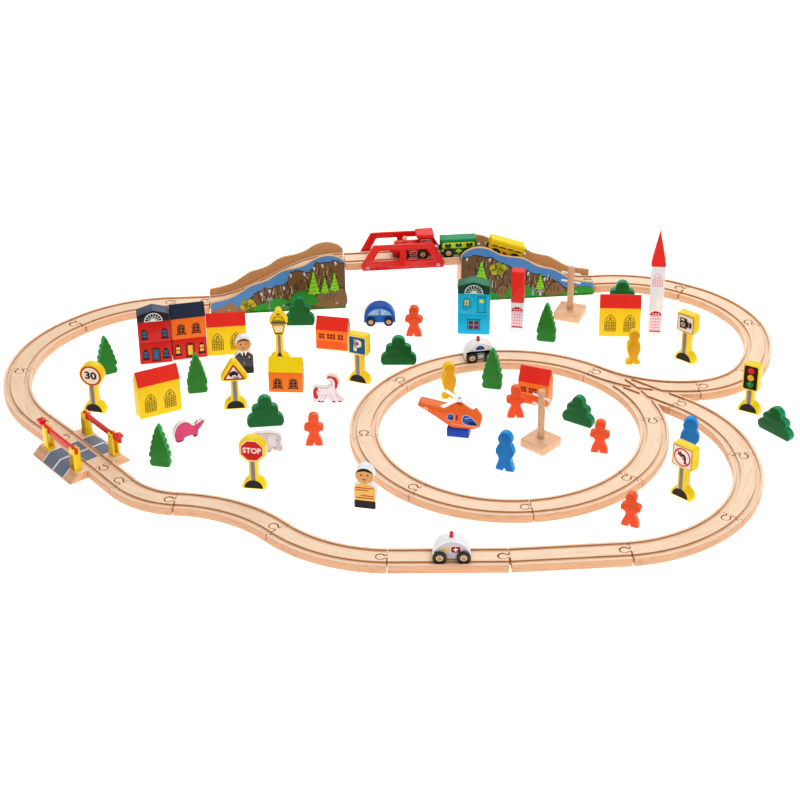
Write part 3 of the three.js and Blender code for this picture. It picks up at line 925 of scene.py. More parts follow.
def both_sides(shape, outlines, material, layer=1, half=CAR_SIDE):
    """Prints on both sides of a vehicle or boom, facing the same way along it."""
    for side, flip in zip(BOTH_SIDES, (1, -1)):
        for points in outlines:
            shape.print([(flip * x, z) for x, z in points], material, layer, -half, side)


def strokes(points, width):
    """Straight strokes from point to point."""
    return [line(*a, *b, width) for a, b in zip(points, points[1:])]


def nested(shape, outline, *rims):
    """Prints outline(shrink) over itself, a layer up for each rim of (shrink, material)."""
    for i, (shrink, material) in enumerate(rims):
        shape.print(outline(shrink), material, i + 1)


def prints(shape, outlines, material, layer=1, front=0.0):
    for outline in outlines:
        shape.print(outline, material, layer, front)


def screw(shape, x, z, front, radius=2.6):
    """A countersunk cross-head screw seen on a front face."""
    place = move(x, front, z)
    profile = [(0, 0.4), (radius, 0.4), (radius, 0.0), (radius * 0.8, -0.35), (0, -0.4)]
    shape.lathe(profile, steel(), "Y", place, 20)
    for turn in (0, 90):
        a = radians(turn + 20)
        c, s = cos(a) * radius * 0.6, sin(a) * radius * 0.6
        shape.print(line(-c, -s, c, s, 0.6), ink(BLACK), 1, -0.38, place)


# ---- mountain and bridge --------------------------------------------------------------
SHEET, PANEL_FACE = 4.0, 24.3
RIDGE = [(0, 79), (8, 87), (24, 92), (42, 88.5), (60, 78), (75, 73.5), (92, 70.5), (104, 65),
         (116, 56.5), (130, 51.5), (144, 47.5), (158, 38.5), (172, 30), (188, 25), (208, 21)]
SKY, ROCK, ROCK_DARK, SNOW = (84, 140, 200), (118, 88, 52), (44, 32, 26), (214, 216, 224)
MEADOW, LIME, LEAF = (52, 150, 44), (150, 214, 40), (30, 110, 40)


def crag(points, jag, seed):
    """A jagged version of a line, always the same for one seed."""
    out = []
    for i, ((a, za), (b, zb)) in enumerate(zip(points, points[1:])):
        out.append((a, za))
        for k in (1, 2):
            t = k / 3
            wobble = sin(seed + i * 2.3 + k * 4.1) * jag
            out.append((a + (b - a) * t, za + (zb - za) * t + wobble))
    return out + [points[-1]]


def fir(x, z, width, height):
    """A printed fir: tiers that widen downwards."""
    right = []
    tiers = 5
    for i in range(tiers):
        t = i / tiers
        half = width / 2 * (1 - t)
        right += [(half, z + height * t * 0.95), (half * 0.62, z + height * (t + 0.13))]
    right.append((0.0, z + height))
    outline = mirrored([(1.0, z - height * 0.08), (1.0, z)] + right)
    return [(x + a, b) for a, b in outline]


def mountain_print(shape, rocks, meadow, humps, firs, shrubs, falls, flip, seed):
    """The landscape on a front panel; u runs from the high end."""
    def outline(points):
        return [(flip * u, z) for u, z in points]

    low = [(206.8, 0.6), (0.7, 0.6)]
    top = [(u, z - 1.3) for u, z in spline(RIDGE, 3, False) if 0.7 < u < 207]
    shape.print(outline([(0.7, 78.5)] + top + [(206.8, 19.5)] + low), ink(SKY), 1)
    edge = crag(rocks, 1.6, seed)
    shape.print(outline(edge + [(rocks[-1][0], 0.7), (0.8, 0.7)]), ink(ROCK_DARK), 2)
    face = [(max(1.4, u - 0.5), z - 1.2) for u, z in edge]
    shape.print(outline(face + [(rocks[-1][0] - 1, 0.7), (1.4, 0.7)]), ink(ROCK), 3)
    far = [(150, 8), (160, 15), (166, 12), (176, 20), (190, 13), (200, 10), (206, 6), (206, 1),
           (150, 1)]
    shape.print(outline(far), ink((150, 120, 92)), 2)
    for i in range(70):
        u = 5 + (rocks[-1][0] - 24) * ((i * 0.7549 + 0.1) % 1.0)
        ceiling = min(z for a, z in rocks if abs(a - u) < 13)
        z = 5 + (ceiling - 14) * ((i * 0.5698 + seed * 0.37) % 1.0)
        tall = 5 + 10 * ((i * 0.271) % 1.0)
        lean = 2.6 * sin(i * 1.7 + seed)
        crack = [(u - 0.7, z), (u + 1.3, z + 1), (u + lean * 0.3 + 0.4, z + tall * 0.5),
                 (u + lean + 0.5, z + tall), (u + lean - 0.4, z + tall),
                 (u + lean * 0.3 - 0.8, z + tall * 0.5)]
        shape.print(outline(crack), ink(ROCK_DARK), 4)
        if i % 2 == 0:
            shape.print(outline([(a + 2.4, b + 1) for a, b in crack]), ink((172, 142, 108)), 4)
        if i % 5 == 0:
            shape.print(outline([(a - 2.6, b + 2) for a, b in crack]), ink((206, 196, 184)), 4)
    for u, z in rocks[1:-2:2]:
        shape.print(outline([(u - 2.6, z - 6), (u - 0.6, z - 9), (u + 0.8, z - 4),
                             (u + 1.6, z - 2.4), (u - 1.2, z - 2)]), ink(SNOW), 5)
    for points in humps:
        hill = spline(points, 3)
        shape.print(outline(hill), ink(ROCK_DARK), 5)
        shape.print(outline(inset(hill, 1.0)), ink((138, 106, 68)), 6)
        u, z = (sum(values) / len(points) for values in zip(*points))
        for k in (-1, 0, 1):
            shape.print(outline(line(u + 5 * k, z - 4, u - 2 + 6 * k, z + 5 - 2 * abs(k), 0.9)),
                        ink(ROCK_DARK), 7)
    for points in meadow:
        shape.print(outline(spline(points, 3)), ink(MEADOW), 7)
    grass = [(206.8, 0.6)] + [(206 - 6 * i, 3.4 + 1.2 * sin(i * 1.9 + seed))
                              for i in range(35)] + [(0.7, 0.6)]
    shape.print(outline(grass), ink((40, 128, 40)), 7)
    for u, z, width, height in firs:
        shape.print(fir(flip * u, z, width * 1.36, height * 1.08), ink(LEAF), 7)
        shape.print(fir(flip * u + 0.4, z + 0.8, width * 1.1, height * 0.96), ink(LIME), 8)
        for k in range(4):
            shape.print(outline(line(u - width * 0.22, z + height * (0.15 + 0.18 * k),
                                     u + width * 0.18, z + height * (0.1 + 0.18 * k), 0.8)),
                        ink(LEAF), 9)
    for u, z, size in shrubs:
        shape.print(outline(line(u, z - size * 0.7, u, z, 1.4)), ink(ROCK_DARK), 6)
        for k in range(5):
            a = k * 1.257 + seed
            leaf = circle(flip * u + size * 0.42 * cos(a), z + size * 0.3 * sin(a), size * 0.34, 10)
            shape.print(leaf, ink((150, 150, 30) if k % 2 else (186, 180, 44)), 7)
    for u, z, tall in falls:
        shape.print(outline([(u - 1.6, z), (u + 1.8, z), (u + 1.2, z + tall), (u - 1, z + tall)]),
                    ink((226, 232, 240)), 7)
        shape.print(outline([(u - 6, z + tall - 1), (u + 5, z + tall - 2), (u + 4, z + tall + 3),
                             (u - 4, z + tall + 4)]), ink((150, 156, 160)), 7)
        shape.print(outline(line(u, z, u + 0.4, z + tall, 0.4)), ink((120, 150, 190)), 8)


LEFT_PRINT = dict(
    rocks=[(1, 78), (15, 83), (25, 81), (35, 80), (43, 82), (48, 76), (54, 65), (63, 67),
           (76, 69.5), (84, 66), (89, 51), (95, 45), (102, 45.5), (117, 41), (125, 42),
           (130, 37), (140, 34), (148, 22), (153, 9)],
    meadow=[[(84, 2), (86, 16), (96, 22), (108, 23), (122, 17), (138, 12), (152, 3)],
            [(42, 14), (50, 26), (62, 34), (72, 33), (84, 24), (88, 10), (70, 7), (54, 8)]],
    humps=[[(1, 3), (1, 33), (12, 36), (26, 31), (42, 28), (50, 17), (46, 4)]],
    firs=[(49, 27, 19, 40), (32, 28, 13, 28), (17, 31, 15, 32)],
    shrubs=[(150, 14, 17)], falls=[(117, 5, 17), (92, 4, 6)], seed=1.0)
RIGHT_PRINT = dict(
    rocks=[(1, 75), (10, 78), (23, 79), (45, 75), (56, 68), (68, 61), (86, 53), (105, 48),
           (116, 41), (131, 37), (150, 25), (165, 15), (180, 8)],
    meadow=[[(20, 3), (24, 12), (36, 16), (52, 13), (58, 4)],
            [(72, 3), (76, 20), (90, 26), (104, 22), (116, 12), (118, 3)],
            [(158, 2), (168, 9), (184, 15), (198, 15), (206, 10), (206, 2)]],
    humps=[[(76, 3), (54, 3), (54, 16), (60, 25), (68, 26), (75, 17)],
           [(166, 3), (132, 3), (135, 16), (146, 27), (156, 22)]],
    firs=[(31, 37, 18, 32), (123, 15, 14, 26), (88, 22, 12, 18)],
    shrubs=[(57, 54, 18)], falls=[(112, 5, 10), (124, 4, 7)], seed=4.0)


def mountains():
    """A printed front and a bare back panel on each ramp."""
    bare = board((214, 170, 122))
    edge = board((222, 190, 150))
    crest = spline(RIDGE, 4, False)
    for side, flip, art in (("left", -1, LEFT_PRINT), ("right", 1, RIGHT_PRINT)):
        outline = [(0, 0), (flip * RAMP, 0)] + [(flip * u, z) for u, z in reversed(crest)]
        high = 0.0 if side == "left" else RAMP
        for face, y in (("front", PANEL_FACE), ("back", -PANEL_FACE + SHEET)):
            shape = Shape()
            shape.slab(outline, 0, SHEET, edge, 0.35, face=bare, steps=1)
            if face == "front":
                mountain_print(shape, flip=flip, **art)
            place = PLACES["ramp_" + side] @ move(high, y, 0) @ HALF_TURN
            if face == "front":
                for u, z in ((14, 10), (96, 10), (180, 7)):
                    screw(shape, flip * u, z, -0.9, radius=1.7)
            shape.piece("panel_%s_%s" % (side, face), "root", "mountain_board", place,
                        ["mountain_%s_%s" % (side, face)])


TRUSS_MIDDLE, TRUSS_BASE = 88.0, 61.5


def bridge_sides():
    """The red truss sides, with two windows each."""
    red = plastic((228, 30, 26), 0.2)
    outline = rounded([(-62.5, 0), (62.5, 0), (63.5, 9), (45.5, 42), (-45.5, 42), (-63.5, 9)], 2.5)
    window = rounded([(5, 14), (47, 14), (37, 33), (5, 33)], 2.0)
    for face, y in (("front", PANEL_FACE), ("back", -PANEL_FACE + SHEET)):
        place = PLACES["bridge_deck"] @ move(TRUSS_MIDDLE, y, TRUSS_BASE) @ HALF_TURN
        shape = Shape()
        shape.slab(outline, 0, SHEET, red, 0.9)
        made = loose(shape, "truss_" + face)
        for flip in (-1, 1):
            cut = Shape()
            cut.slab([(flip * x, z) for x, z in window], -2, SHEET + 2, red, 0)
            boolean(made, cut)
        more = Shape()
        more.slot(red)
        for flip in (-1, 1):
            frame_line = [(flip * x, z) for x, z in inset(window, -1.6)]
            lip = [[(x, y, z) for x, z in inset(frame_line, k)]
                   for y, k in ((0.2, 0), (-0.45, 0.4), (-0.45, 1.2), (0.2, 1.55))]
            more.rings(lip, red, False)
            screw(more, flip * 54, 5.5, -0.2)
            screw(more, flip * 20, 5.5, -0.2, radius=1.2)
        for material in more.materials[1:]:
            made.data.materials.append(material)
        join(made, more)
        hand_over(made, "root", place, ["bridge_side_" + face])


# ---- level crossing -------------------------------------------------------------------
POST_NEAR, POST_FAR, POST_SIDE, POST_TOP, BOOM_HEIGHT = 18.0, 88.0, 30.0, 47.0, 42.5


def road_strip(shape, section, x0, x1, material):
    """A printed strip that follows the crossing's top, along the end view's points."""
    band = [(y, z - 0.2) for y, z in section] + [(y, z + 0.15) for y, z in section[::-1]]
    shape.rings([[(y, -x, z) for y, z in band] for x in (x1, x0)], material, True, QUARTER)


def gate_post(shape, x, y, pivot):
    """A forked post, with a pin where its boom turns."""
    yellow = plastic((250, 208, 8), 0.26)
    at = move(x, y, 0)
    floor = 16.0 if pivot else BOOM_HEIGHT - 4.4
    shape.slab(tile(-6, 6, HEIGHT - 1, floor, 0.6, 2), -5.5, 5.5, yellow, 0.5, at)
    horn = [(-6, HEIGHT), (6, HEIGHT), (5.6, 42), (5.2, 45.5), (4, POST_TOP), (2.6, 46.4),
            (1.2, 45), (-1.2, 45), (-2.6, 46.4), (-4, POST_TOP), (-5.2, 45.5), (-5.6, 42)]
    for y0, y1 in ((-5.5, -2.6), (2.6, 5.5)):
        shape.slab(rounded(horn, 0.8, 2), y0, y1, yellow, 0.5, at)
    if pivot:
        pin = [(0, -5.9), (1.5, -5.9), (1.5, 5.9), (0, 5.9)]
        shape.lathe(pin, steel(), "Y", at @ move(0, 0, BOOM_HEIGHT), 16)


def level_crossing():
    place = PLACES["crossing_track"]
    posts = Shape()
    for x, y, pivot in ((POST_NEAR, -POST_SIDE, True), (POST_FAR, -POST_SIDE, False),
                        (POST_NEAR, POST_SIDE, False), (POST_FAR, POST_SIDE, True)):
        gate_post(posts, x, y, pivot)
    posts.piece("gate_posts", "root", "paint_yellow", place)
    road = Shape()
    grey, white = ink((122, 132, 146)), ink((240, 242, 244))
    slope = [(16.8, 12), (33.5, 12), (34.7, 11.5), (46.9, 1.0)]
    bands = [[(-9.2, 12), (9.2, 12)], slope, [(-a, z) for a, z in slope[::-1]]]
    for band in bands:
        for x0, x1, material in ((27.2, 51.6, grey), (54.4, 78.8, grey), (25.4, 27.2, white),
                                 (51.6, 54.4, white), (78.8, 80.6, white)):
            road_strip(road, band, x0, x1, material)
    road.piece("crossing_road", "root", "paint_grey", place)
    red = plastic((226, 34, 26), 0.24)
    for i, (x, y, turn) in enumerate(((POST_NEAR, -POST_SIDE, 0), (POST_FAR, POST_SIDE, 180))):
        shape = Shape()
        bar = [(-20, -4.0), (-14, -4.4), (66, -4.4), (75, -4.4), (75, 4.4), (66, 4.4), (63, 3.6),
               (10, 3.6), (6, 4.4), (-14, 4.4), (-20, 4.0)]
        shape.slab(rounded(bar, 1.0, 2), -2, 2, red, 0.5)
        shape.slab(tile(-20, -10.5, 3.4, 8.5, 1.0, 2), -5, 5, red, 0.7)
        shape.slab(tile(-17.5, -13, 7.9, 9.2, 0.5, 2), -2.4, 2.4, red, 0.3)
        # The groove along the boom is printed in a darker copy of its red plastic: painted shade in
        # the groove.
        groove = tile(14, 60, -1.4, 1.4, 0.8, 2)
        both_sides(shape, [groove], plastic((206, 24, 20), 0.3), 1, 2)
        at = shifted(place, x, y, BOOM_HEIGHT, turn)
        shape.piece("boom_%d" % (i + 1), "gate_boom_%d" % (i + 1), "gate_red", at,
                    ["gate_boom_%d" % (i + 1)])


mountains()
bridge_sides()
level_crossing()


# ---- wheels, train, cars and helicopter -----------------------------------------------
RAIL = DECK_TOP - GROOVE
WHEEL_OUT, WHEEL_IN = 14.6, 11.2
DARK_GREEN, COACH_GREEN, ROOF_GREEN = (14, 84, 38), (12, 112, 52), (6, 150, 92)


def wheelset(name, body, place, radius):
    """Two black wheels with beech hub caps on a steel axle."""
    tyre, cap, grain = plastic((24, 22, 22), 0.4), wood((236, 200, 160)), wood((196, 140, 92), 0.7)
    shape = Shape()
    for side in BOTH_SIDES:
        tread = [(0, -13.4), (radius * 0.56, -13.4), (radius * 0.6, -14.4),
                 (radius * 0.68, -WHEEL_OUT), (radius - 0.8, -WHEEL_OUT), (radius - 0.25, -14.35),
                 (radius, -13.8), (radius, -12.0), (radius - 0.25, -11.45),
                 (radius - 0.8, -WHEEL_IN), (0, -WHEEL_IN)]
        shape.lathe(tread, tyre, "Y", side, 36)
        peg = [(0, -14.5), (radius * 0.42, -14.45), (radius * 0.5, -14.1), (radius * 0.52, -13.2),
               (0, -13.2)]
        shape.lathe(peg, cap, "Y", side, 24)
        heart = [(0, -14.62), (radius * 0.3, -14.6), (radius * 0.32, -14.3), (0, -14.3)]
        shape.lathe(heart, grain, "Y", side, 18)
    shape.lathe([(0, -WHEEL_IN - 0.2), (1.5, -WHEEL_IN - 0.2), (1.5, WHEEL_IN + 0.2),
                 (0, WHEEL_IN + 0.2)], steel(), "Y", None, 16)
    shape.piece(name.replace("_wheels", "_wheelset"), body, "wheel_black", place, [name])


def wheels(name, place, radius, wheelbase):
    for end, x in (("front", wheelbase / 2), ("rear", -wheelbase / 2)):
        node = "%s_%s_wheels" % (name, end)
        wheelset(node, node, place @ move(x, 0, radius + 0.4), radius)


def coupler(shape, x, reach, flip):
    """A magnet in a short black holder at one end."""
    black = plastic((30, 28, 30), 0.4)
    at = move(x, 0, 13.5) @ (HALF_TURN if flip else Matrix.Identity(4))
    shape.lathe([(0, -1.5), (3.6, -1.5), (3.8, -1), (3.8, 1.4), (3.2, 2), (0, 2)],
                black, "X", at, 20)
    shape.lathe([(0, 1), (1.2, 1), (1.2, reach - 1.5), (0, reach - 1.5)], steel(), "X", at, 14)
    shape.lathe([(0, reach - 2.6), (3.2, reach - 2.6), (3.4, reach - 2.2), (3.4, reach - 0.4),
                 (3, reach), (0, reach)], steel(), "X", at, 20)


def top_edge(shape, x0, x1, y, z0, z1, material, bevel=1.2):
    """A beam across the whole width, rounded along its length."""
    beam(shape, tile(-y, y, z0, z1, bevel, 3), x0, x1, material, bevel * 0.8)


def loco():
    place = PLACES["bridge_deck"] @ move(71, 0, RAIL)
    red, black = paint((226, 34, 28)), ink(BLACK)
    shape = Shape()
    shape.slab(rounded([(-31, 5), (31, 5), (31.6, 13), (28, 15), (-30, 15), (-32, 13)], 0.8, 2),
               -10, 10, paint((214, 30, 26)), 0.6)
    beam(shape, rounded([(-10, 14.4), (10, 14.4), (10, 20.5), (7.5, 25), (3, 27), (-3, 27),
                         (-7.5, 25), (-10, 20.5)], 1.5, 3), -9, 28, red, 0.9)
    top_edge(shape, -29, -9, 10, 14.4, 36.4, red, 0.8)
    top_edge(shape, -32, -5, 12.8, 35.5, 41, paint((236, 48, 38)), 1.4)
    beech = wood((240, 204, 160))
    at = move(12, 0, 0)
    ball = [(2.2, 26), (2.2, 28.2)]
    ball += [(3.6 * cos(radians(a)), 31.2 + 3.6 * sin(radians(a))) for a in range(-50, 91, 14)]
    shape.lathe([(0, 26)] + ball, beech, "Z", at, 26)
    white = ink(WHITE)
    both_sides(shape, [tile(-26, -12, 20.5, 32, 1.4)], white, 1)
    both_sides(shape, [tile(-25.2, -12.8, 21.3, 31.2, 1.1)], black, 2)
    both_sides(shape, [tile(-24, -14.1, 22.6, 29.9, 0.8)], ink((232, 70, 66)), 3)
    both_sides(shape, [tile(-24, -19.6, 22.6, 29.9, 0.8)], ink((250, 150, 140)), 4)
    both_sides(shape, [rect(-9, 26, 16.2, 17.2)], ink((240, 196, 40)), 1)
    both_sides(shape, [tile(-5.5, 5.5, 5.8, 14, 2.0)], ink((250, 214, 220)), 1)
    both_sides(shape, [tile(-4.4, 4.4, 6.8, 13, 1.6)], ink((196, 24, 60)), 2)
    both_sides(shape, [line(-3, 8.4, 3, 11.6, 1.0)], ink((250, 214, 220)), 3)
    lamp = [(0, 27.4), (2.6, 27.4), (2.9, 27.7), (2.9, 28.4), (2.2, 28.7), (0, 28.8)]
    shape.lathe(lamp, ink((250, 236, 170)), "X", move(0, 0, 22), 20)
    coupler(shape, 31, 4.8, False)
    coupler(shape, -31, 5.8, True)
    shape.piece("loco_shell", "loco", "paint_red", place, ["loco_body"])
    wheels("loco", place, 8.0, 29)


def coach_shell(shape, wall, roof):
    beam(shape, rounded([(-10, 5), (10, 5), (10, 27), (-10, 27)], 0.7, 2), -27.5, 27.5, wall, 0.6)
    beam(shape, rounded([(-10.1, 26), (10.1, 26), (10.1, 28.4), (9.2, 29.5), (-9.2, 29.5),
                         (-10.1, 28.4)], 0.6, 3), -27.6, 27.6, roof, 0.7)
    coupler(shape, 27.5, 6.4, False)
    coupler(shape, -27.5, 6.4, True)


def green_coach():
    place = PLACES["bridge_deck"] @ move(1, 0, RAIL)
    shape = Shape()
    coach_shell(shape, paint(COACH_GREEN), paint(ROOF_GREEN))
    lime, dark = ink((228, 232, 40)), ink(DARK_GREEN)
    both_sides(shape, [tile(-25, 25, 15, 24.6, 3.5)], lime, 1)
    for x in (-16.5, 0, 16.5):
        both_sides(shape, [tile(x - 4.8, x + 4.8, 16.4, 23.0, 1.2)], dark, 2)
        both_sides(shape, [[(x - 2.4, 23.4), (x + 2.4, 23.4), (x, 21.2)]], lime, 3)
        both_sides(shape, [rect(x - 3.6, x + 3.6, 17.4, 18.2)], ink((70, 140, 50)), 3)
    both_sides(shape, [[(x - 2, 19.8), (x, 17.7), (x + 2, 19.8), (x, 21.9)] for x in (-8.2, 8.2)],
               ink((246, 182, 20)), 2)
    both_sides(shape, [[(-5.5, 9.9), (0, 5.9), (5.5, 9.9), (0, 13.9)]], lime, 1)
    both_sides(shape, [[(-3.4, 9.9), (0, 7.5), (3.4, 9.9), (0, 12.3)]], ink((214, 222, 30)), 2)
    both_sides(shape, [tile(22.2, 26.6, 9.4, 13.6, 0.8), tile(-26.6, -22.2, 9.4, 13.6, 0.8)],
               lime, 1)
    shape.piece("green_coach_shell", "green_coach", "paint_green", place, ["green_coach_body"])
    wheels("green_coach", place, 8.0, 32)


def yellow_coach():
    # its middle stands 66 mm down the ramp, tilted by the drop 15 mm to each side
    middle, reach = 66, 15
    upper, lower = ramp_top(middle - reach), ramp_top(middle + reach)
    height = (upper + lower) / 2 - GROOVE + 0.3
    place = PLACES["ramp_right"] @ move(RAMP - middle, 0, height)
    place = place @ Matrix.Rotation(-atan2(upper - lower, 2 * reach), 4, "Y")
    shape = Shape()
    coach_shell(shape, paint((250, 212, 20)), paint((255, 222, 22)))
    brown, red = ink((120, 84, 10)), ink((212, 40, 20))
    both_sides(shape, [rect(-26, 26, 18.4, 19.4)], brown, 1)
    both_sides(shape, [tile(x - 4, x + 4, 18.0, 20.2, 0.8) for x in (-19, -6.5, 6.5, 19)],
               ink((74, 50, 10)), 2)
    both_sides(shape, [rect(-26, 26, 24.2, 24.8)], ink((226, 176, 12)), 1)
    both_sides(shape, [circle(-1.6, 9.6, 2.6, 16), circle(1.6, 11.0, 2.4, 16)], red, 1)
    both_sides(shape, [line(-5, 7.0, 5, 7.0, 0.9)], red, 1)
    shape.piece("yellow_coach_shell", "yellow_coach", "paint_yellow", place, ["yellow_coach_body"])
    wheels("yellow_coach", place, 8.0, 32)


def dome(length, low, high, shrink=0.0):
    """The side view of a car: upright at the wheels, then half an ellipse."""
    half, base, count = length / 2 - shrink, low + 4, 30
    arc = [(half * cos(pi * i / count), base + (high - base - shrink) * sin(pi * i / count))
           for i in range(count + 1)]
    return [(-half, low + shrink), (half, low + shrink)] + arc


def roof_light(shape, x, z, tall):
    """A red emergency light with a waist."""
    red, radius = plastic((206, 14, 22), 0.2), 2.6
    at = move(x, 0, z)
    waist = [(0, -2), (radius, -2), (radius, tall * 0.3), (radius * 0.72, tall * 0.46),
             (radius * 0.72, tall * 0.54), (radius, tall * 0.68), (radius * 0.9, tall * 0.92),
             (radius * 0.5, tall), (0, tall)]
    shape.lathe(waist, red, "Z", at, 24)


def blue_car():
    place = spot(-179, 330)
    shape = Shape()
    shape.slab(dome(48, 4.5, 33), -10, 10, paint((16, 98, 190), *ENAMEL), 1.4)
    pale, blue, deep = ink((150, 186, 216)), ink((20, 108, 200)), ink((12, 60, 140))
    both_sides(shape, [dome(48, 8.2, 33, 5.0)], pale, 1)
    both_sides(shape, [[(-20, 10), (20, 10), (20, 16.2), (-20, 16.2)]], blue, 2)
    both_sides(shape, [line(-18, 16.6, 18, 16.6, 0.8)], deep, 3)
    both_sides(shape, [rect(-0.9, 0.9, 16, 27)], blue, 2)
    both_sides(shape, [line(3, 18, 8, 25, 1.2), line(-12, 18, -8, 24, 1.2)],
               ink((206, 224, 240)), 2)
    both_sides(shape, [tile(3.2, 6.6, 13, 14.2, 0.5)], deep, 3)
    shape.piece("blue_car_shell", "blue_car", "paint_blue", place, ["blue_car_body"])
    wheels("blue_car", place, 7.0, 27)


def police_car():
    x, y = on_circle(99.5)
    place = spot(x, y, 189.5, HEIGHT - GROOVE)
    shape = Shape()
    shape.slab(dome(46, 5, 31), -10, 10, paint((246, 246, 246), *ENAMEL), 1.4)
    # A greyer copy of the white body printed inside a white rim on both sides: painted shade on the
    # side faces.
    both_sides(shape, [dome(46, 5, 31, 1.8)], ink((222, 218, 222)), 1)
    band = [(-21, 12.5), (21, 12.5), (21.2, 17.2), (16, 18.6), (-16, 18.6), (-21.2, 17.2)]
    both_sides(shape, [band], ink(BLACK), 2)
    both_sides(shape, [circle(1, 20.0, 8.2, 20, 0, 180)], ink(WHITE), 3)
    both_sides(shape, [circle(1, 20.6, 6.8, 20, 0, 180)], ink((18, 62, 140)), 4)
    both_sides(shape, [line(-2.5, 22, 1.5, 26, 1.0)], ink((50, 110, 190)), 5)
    both_sides(shape, [tile(18.6, 21.6, 8, 12.6, 0.8)], ink((20, 80, 120)), 3)
    both_sides(shape, [rect(-6, 6, 14.2, 15.0), tile(1.2, 5, 10, 11, 0.4)], ink((206, 206, 212)), 3)
    roof_light(shape, 2, 31, 7)
    shape.piece("police_car_shell", "police_car", "paint_white", place, ["police_car_body"])
    wheels("police_car", place, 8.5, 26)


def ambulance():
    place = shifted(PLACES["straight_1"], 80, 0, HEIGHT - GROOVE, 180)
    shape = Shape()
    shape.slab(dome(48, 6, 33), -10, 10, paint((248, 248, 248), *ENAMEL), 1.4)
    # A greyer copy of the white body printed inside a white rim on both sides: painted shade on the
    # side faces.
    both_sides(shape, [dome(48, 6, 33, 1.8)], ink((204, 198, 202)), 1)
    yellow, badge = ink((222, 188, 60)), ink((160, 8, 20))
    both_sides(shape, [tile(8.2, 12, 18, 22.6, 0.5), tile(2.6, 7, 18, 22.6, 0.5)], yellow, 2)
    both_sides(shape, [tile(18.6, 21.4, 15, 18, 0.5)], ink((150, 160, 40)), 2)
    both_sides(shape, [tile(-11.6, 1.2, 15, 25, 2)], ink(WHITE), 2)
    both_sides(shape, [tile(-11, 0.6, 15.6, 24.4, 1.7)], badge, 3)
    both_sides(shape, [tile(-8.0, -2.4, 19.1, 20.9, 0.4), tile(-6.1, -4.3, 17.2, 22.8, 0.4)],
               ink(WHITE), 4)
    roof_light(shape, 0, 33, 7.4)
    shape.piece("ambulance_shell", "ambulance", "paint_white", place, ["ambulance_body"])
    wheels("ambulance", place, 9.0, 30)


def helicopter():
    place = spot(-68, 3, -12)
    orange = paint((238, 112, 24), *ENAMEL)
    shape = Shape()
    cabin = rounded([(-10, 14.4), (22, 14.4), (31, 20), (31, 28), (22, 40), (12, 46), (2, 49.6),
                     (-6, 49), (-16, 42.6), (-54, 49), (-58, 45), (-30, 28)], 4, 4)
    shape.slab(cabin, -10, 10, orange, 1.5, face=paint((232, 100, 18), 0.34, 0.3))
    shape.lathe([(0, 44), (3.4, 44), (3.0, 51), (1.6, 52.4), (1.6, 58), (0, 58)],
                plastic((222, 70, 20), 0.3), "Z", None, 20)
    pane, deep, pale = ink((36, 90, 170)), ink((16, 30, 60)), ink((206, 220, 240))
    window = spline([(5, 27), (7, 35), (13, 36.5), (20, 32), (27, 24), (26, 21), (17, 20.5),
                     (9, 22)], 3)
    both_sides(shape, [window], pale, 1)
    both_sides(shape, [inset(window, 0.7)], pane, 2)
    both_sides(shape, [spline([(14, 22), (26, 22), (25, 25), (19, 27), (15, 26)], 3)], deep, 3)
    both_sides(shape, [line(9, 31, 17, 33, 0.8)], pale, 3)
    hatch = rounded([(-17, 27), (-6, 26), (-6, 36.5), (-14, 36.5)], 1.2)
    both_sides(shape, [hatch], pale, 1)
    both_sides(shape, [inset(hatch, 0.6)], pane, 2)
    both_sides(shape, [rounded([(-12.5, 27.6), (-6.8, 27.2), (-6.8, 32), (-10, 31)], 0.8)], deep, 3)
    both_sides(shape, [tile(-3.6, -0.6, 27, 36, 1.0)], ink((190, 60, 16)), 1)
    both_sides(shape, [tile(-2.8, -1.4, 28, 35, 0.5)], ink((120, 40, 20)), 2)
    both_sides(shape, [line(-10, 20.8, 30, 18.2, 1.0)], ink((250, 190, 150)), 1)
    for side, flip in zip(BOTH_SIDES, (1, -1)):
        shape.ring_print(-46 * flip, 40.5, 3.6, 2.6, ink((250, 214, 200)), 1, -10, side)
        shape.print(circle(-46 * flip, 40.5, 1.5, 16), ink((250, 214, 200)), 1, -10, side)
    shape.box(-16, 15, -11, 11, 0.2, 14.4, paint((10, 72, 172), *ENAMEL), 1.4)
    shape.piece("helicopter_shell", "root", "paint_orange", place, ["helicopter_body"])
    white = plastic((246, 246, 248), 0.25)
    spin = Shape()
    for turn in (0, 90, 180, 270):
        at = turned(turn)
        blade = rounded([(2, -2.4), (10, -2.6), (31.8, -3.4), (31.8, 3.4), (10, 2.6), (2, 2.4)],
                        1.8, 3)
        flat = [[(x, y, z) for x, y in outline] for z, outline in
                ((-0.8, inset(blade, 0.3)), (-0.5, blade), (0.4, blade), (0.8, inset(blade, 0.4)))]
        spin.rings(flat, white, True, at)
    spin.lathe([(2.0, -2), (4.6, -2), (5, -1.6), (5, 1.4), (4.2, 2), (2.0, 2)],
               white, "Z", None, 28)
    spin.lathe([(0, 1.2), (2.6, 1.2), (2.4, 2.6), (1.2, 3.1), (0, 3.1)],
               plastic((170, 180, 206), 0.3), "Z", None, 20)
    spin.piece("rotor_blades", "helicopter_rotor", "paint_white", shifted(place, 0, 0, 55, 50),
               ["helicopter_rotor"])


loco()
green_coach()
yellow_coach()
blue_car()
police_car()
ambulance()
helicopter()


# ---- town -----------------------------------------------------------------------------
DEPTH, BOARD, SIGN_BOARD = 22.0, 10.0, 14.0
ROOF_RED, HOUSE_YELLOW = (238, 52, 36), (246, 206, 10)
HOUSE_ORANGE, BRICK, SILL = (240, 124, 22), (242, 128, 26), (60, 22, 22)


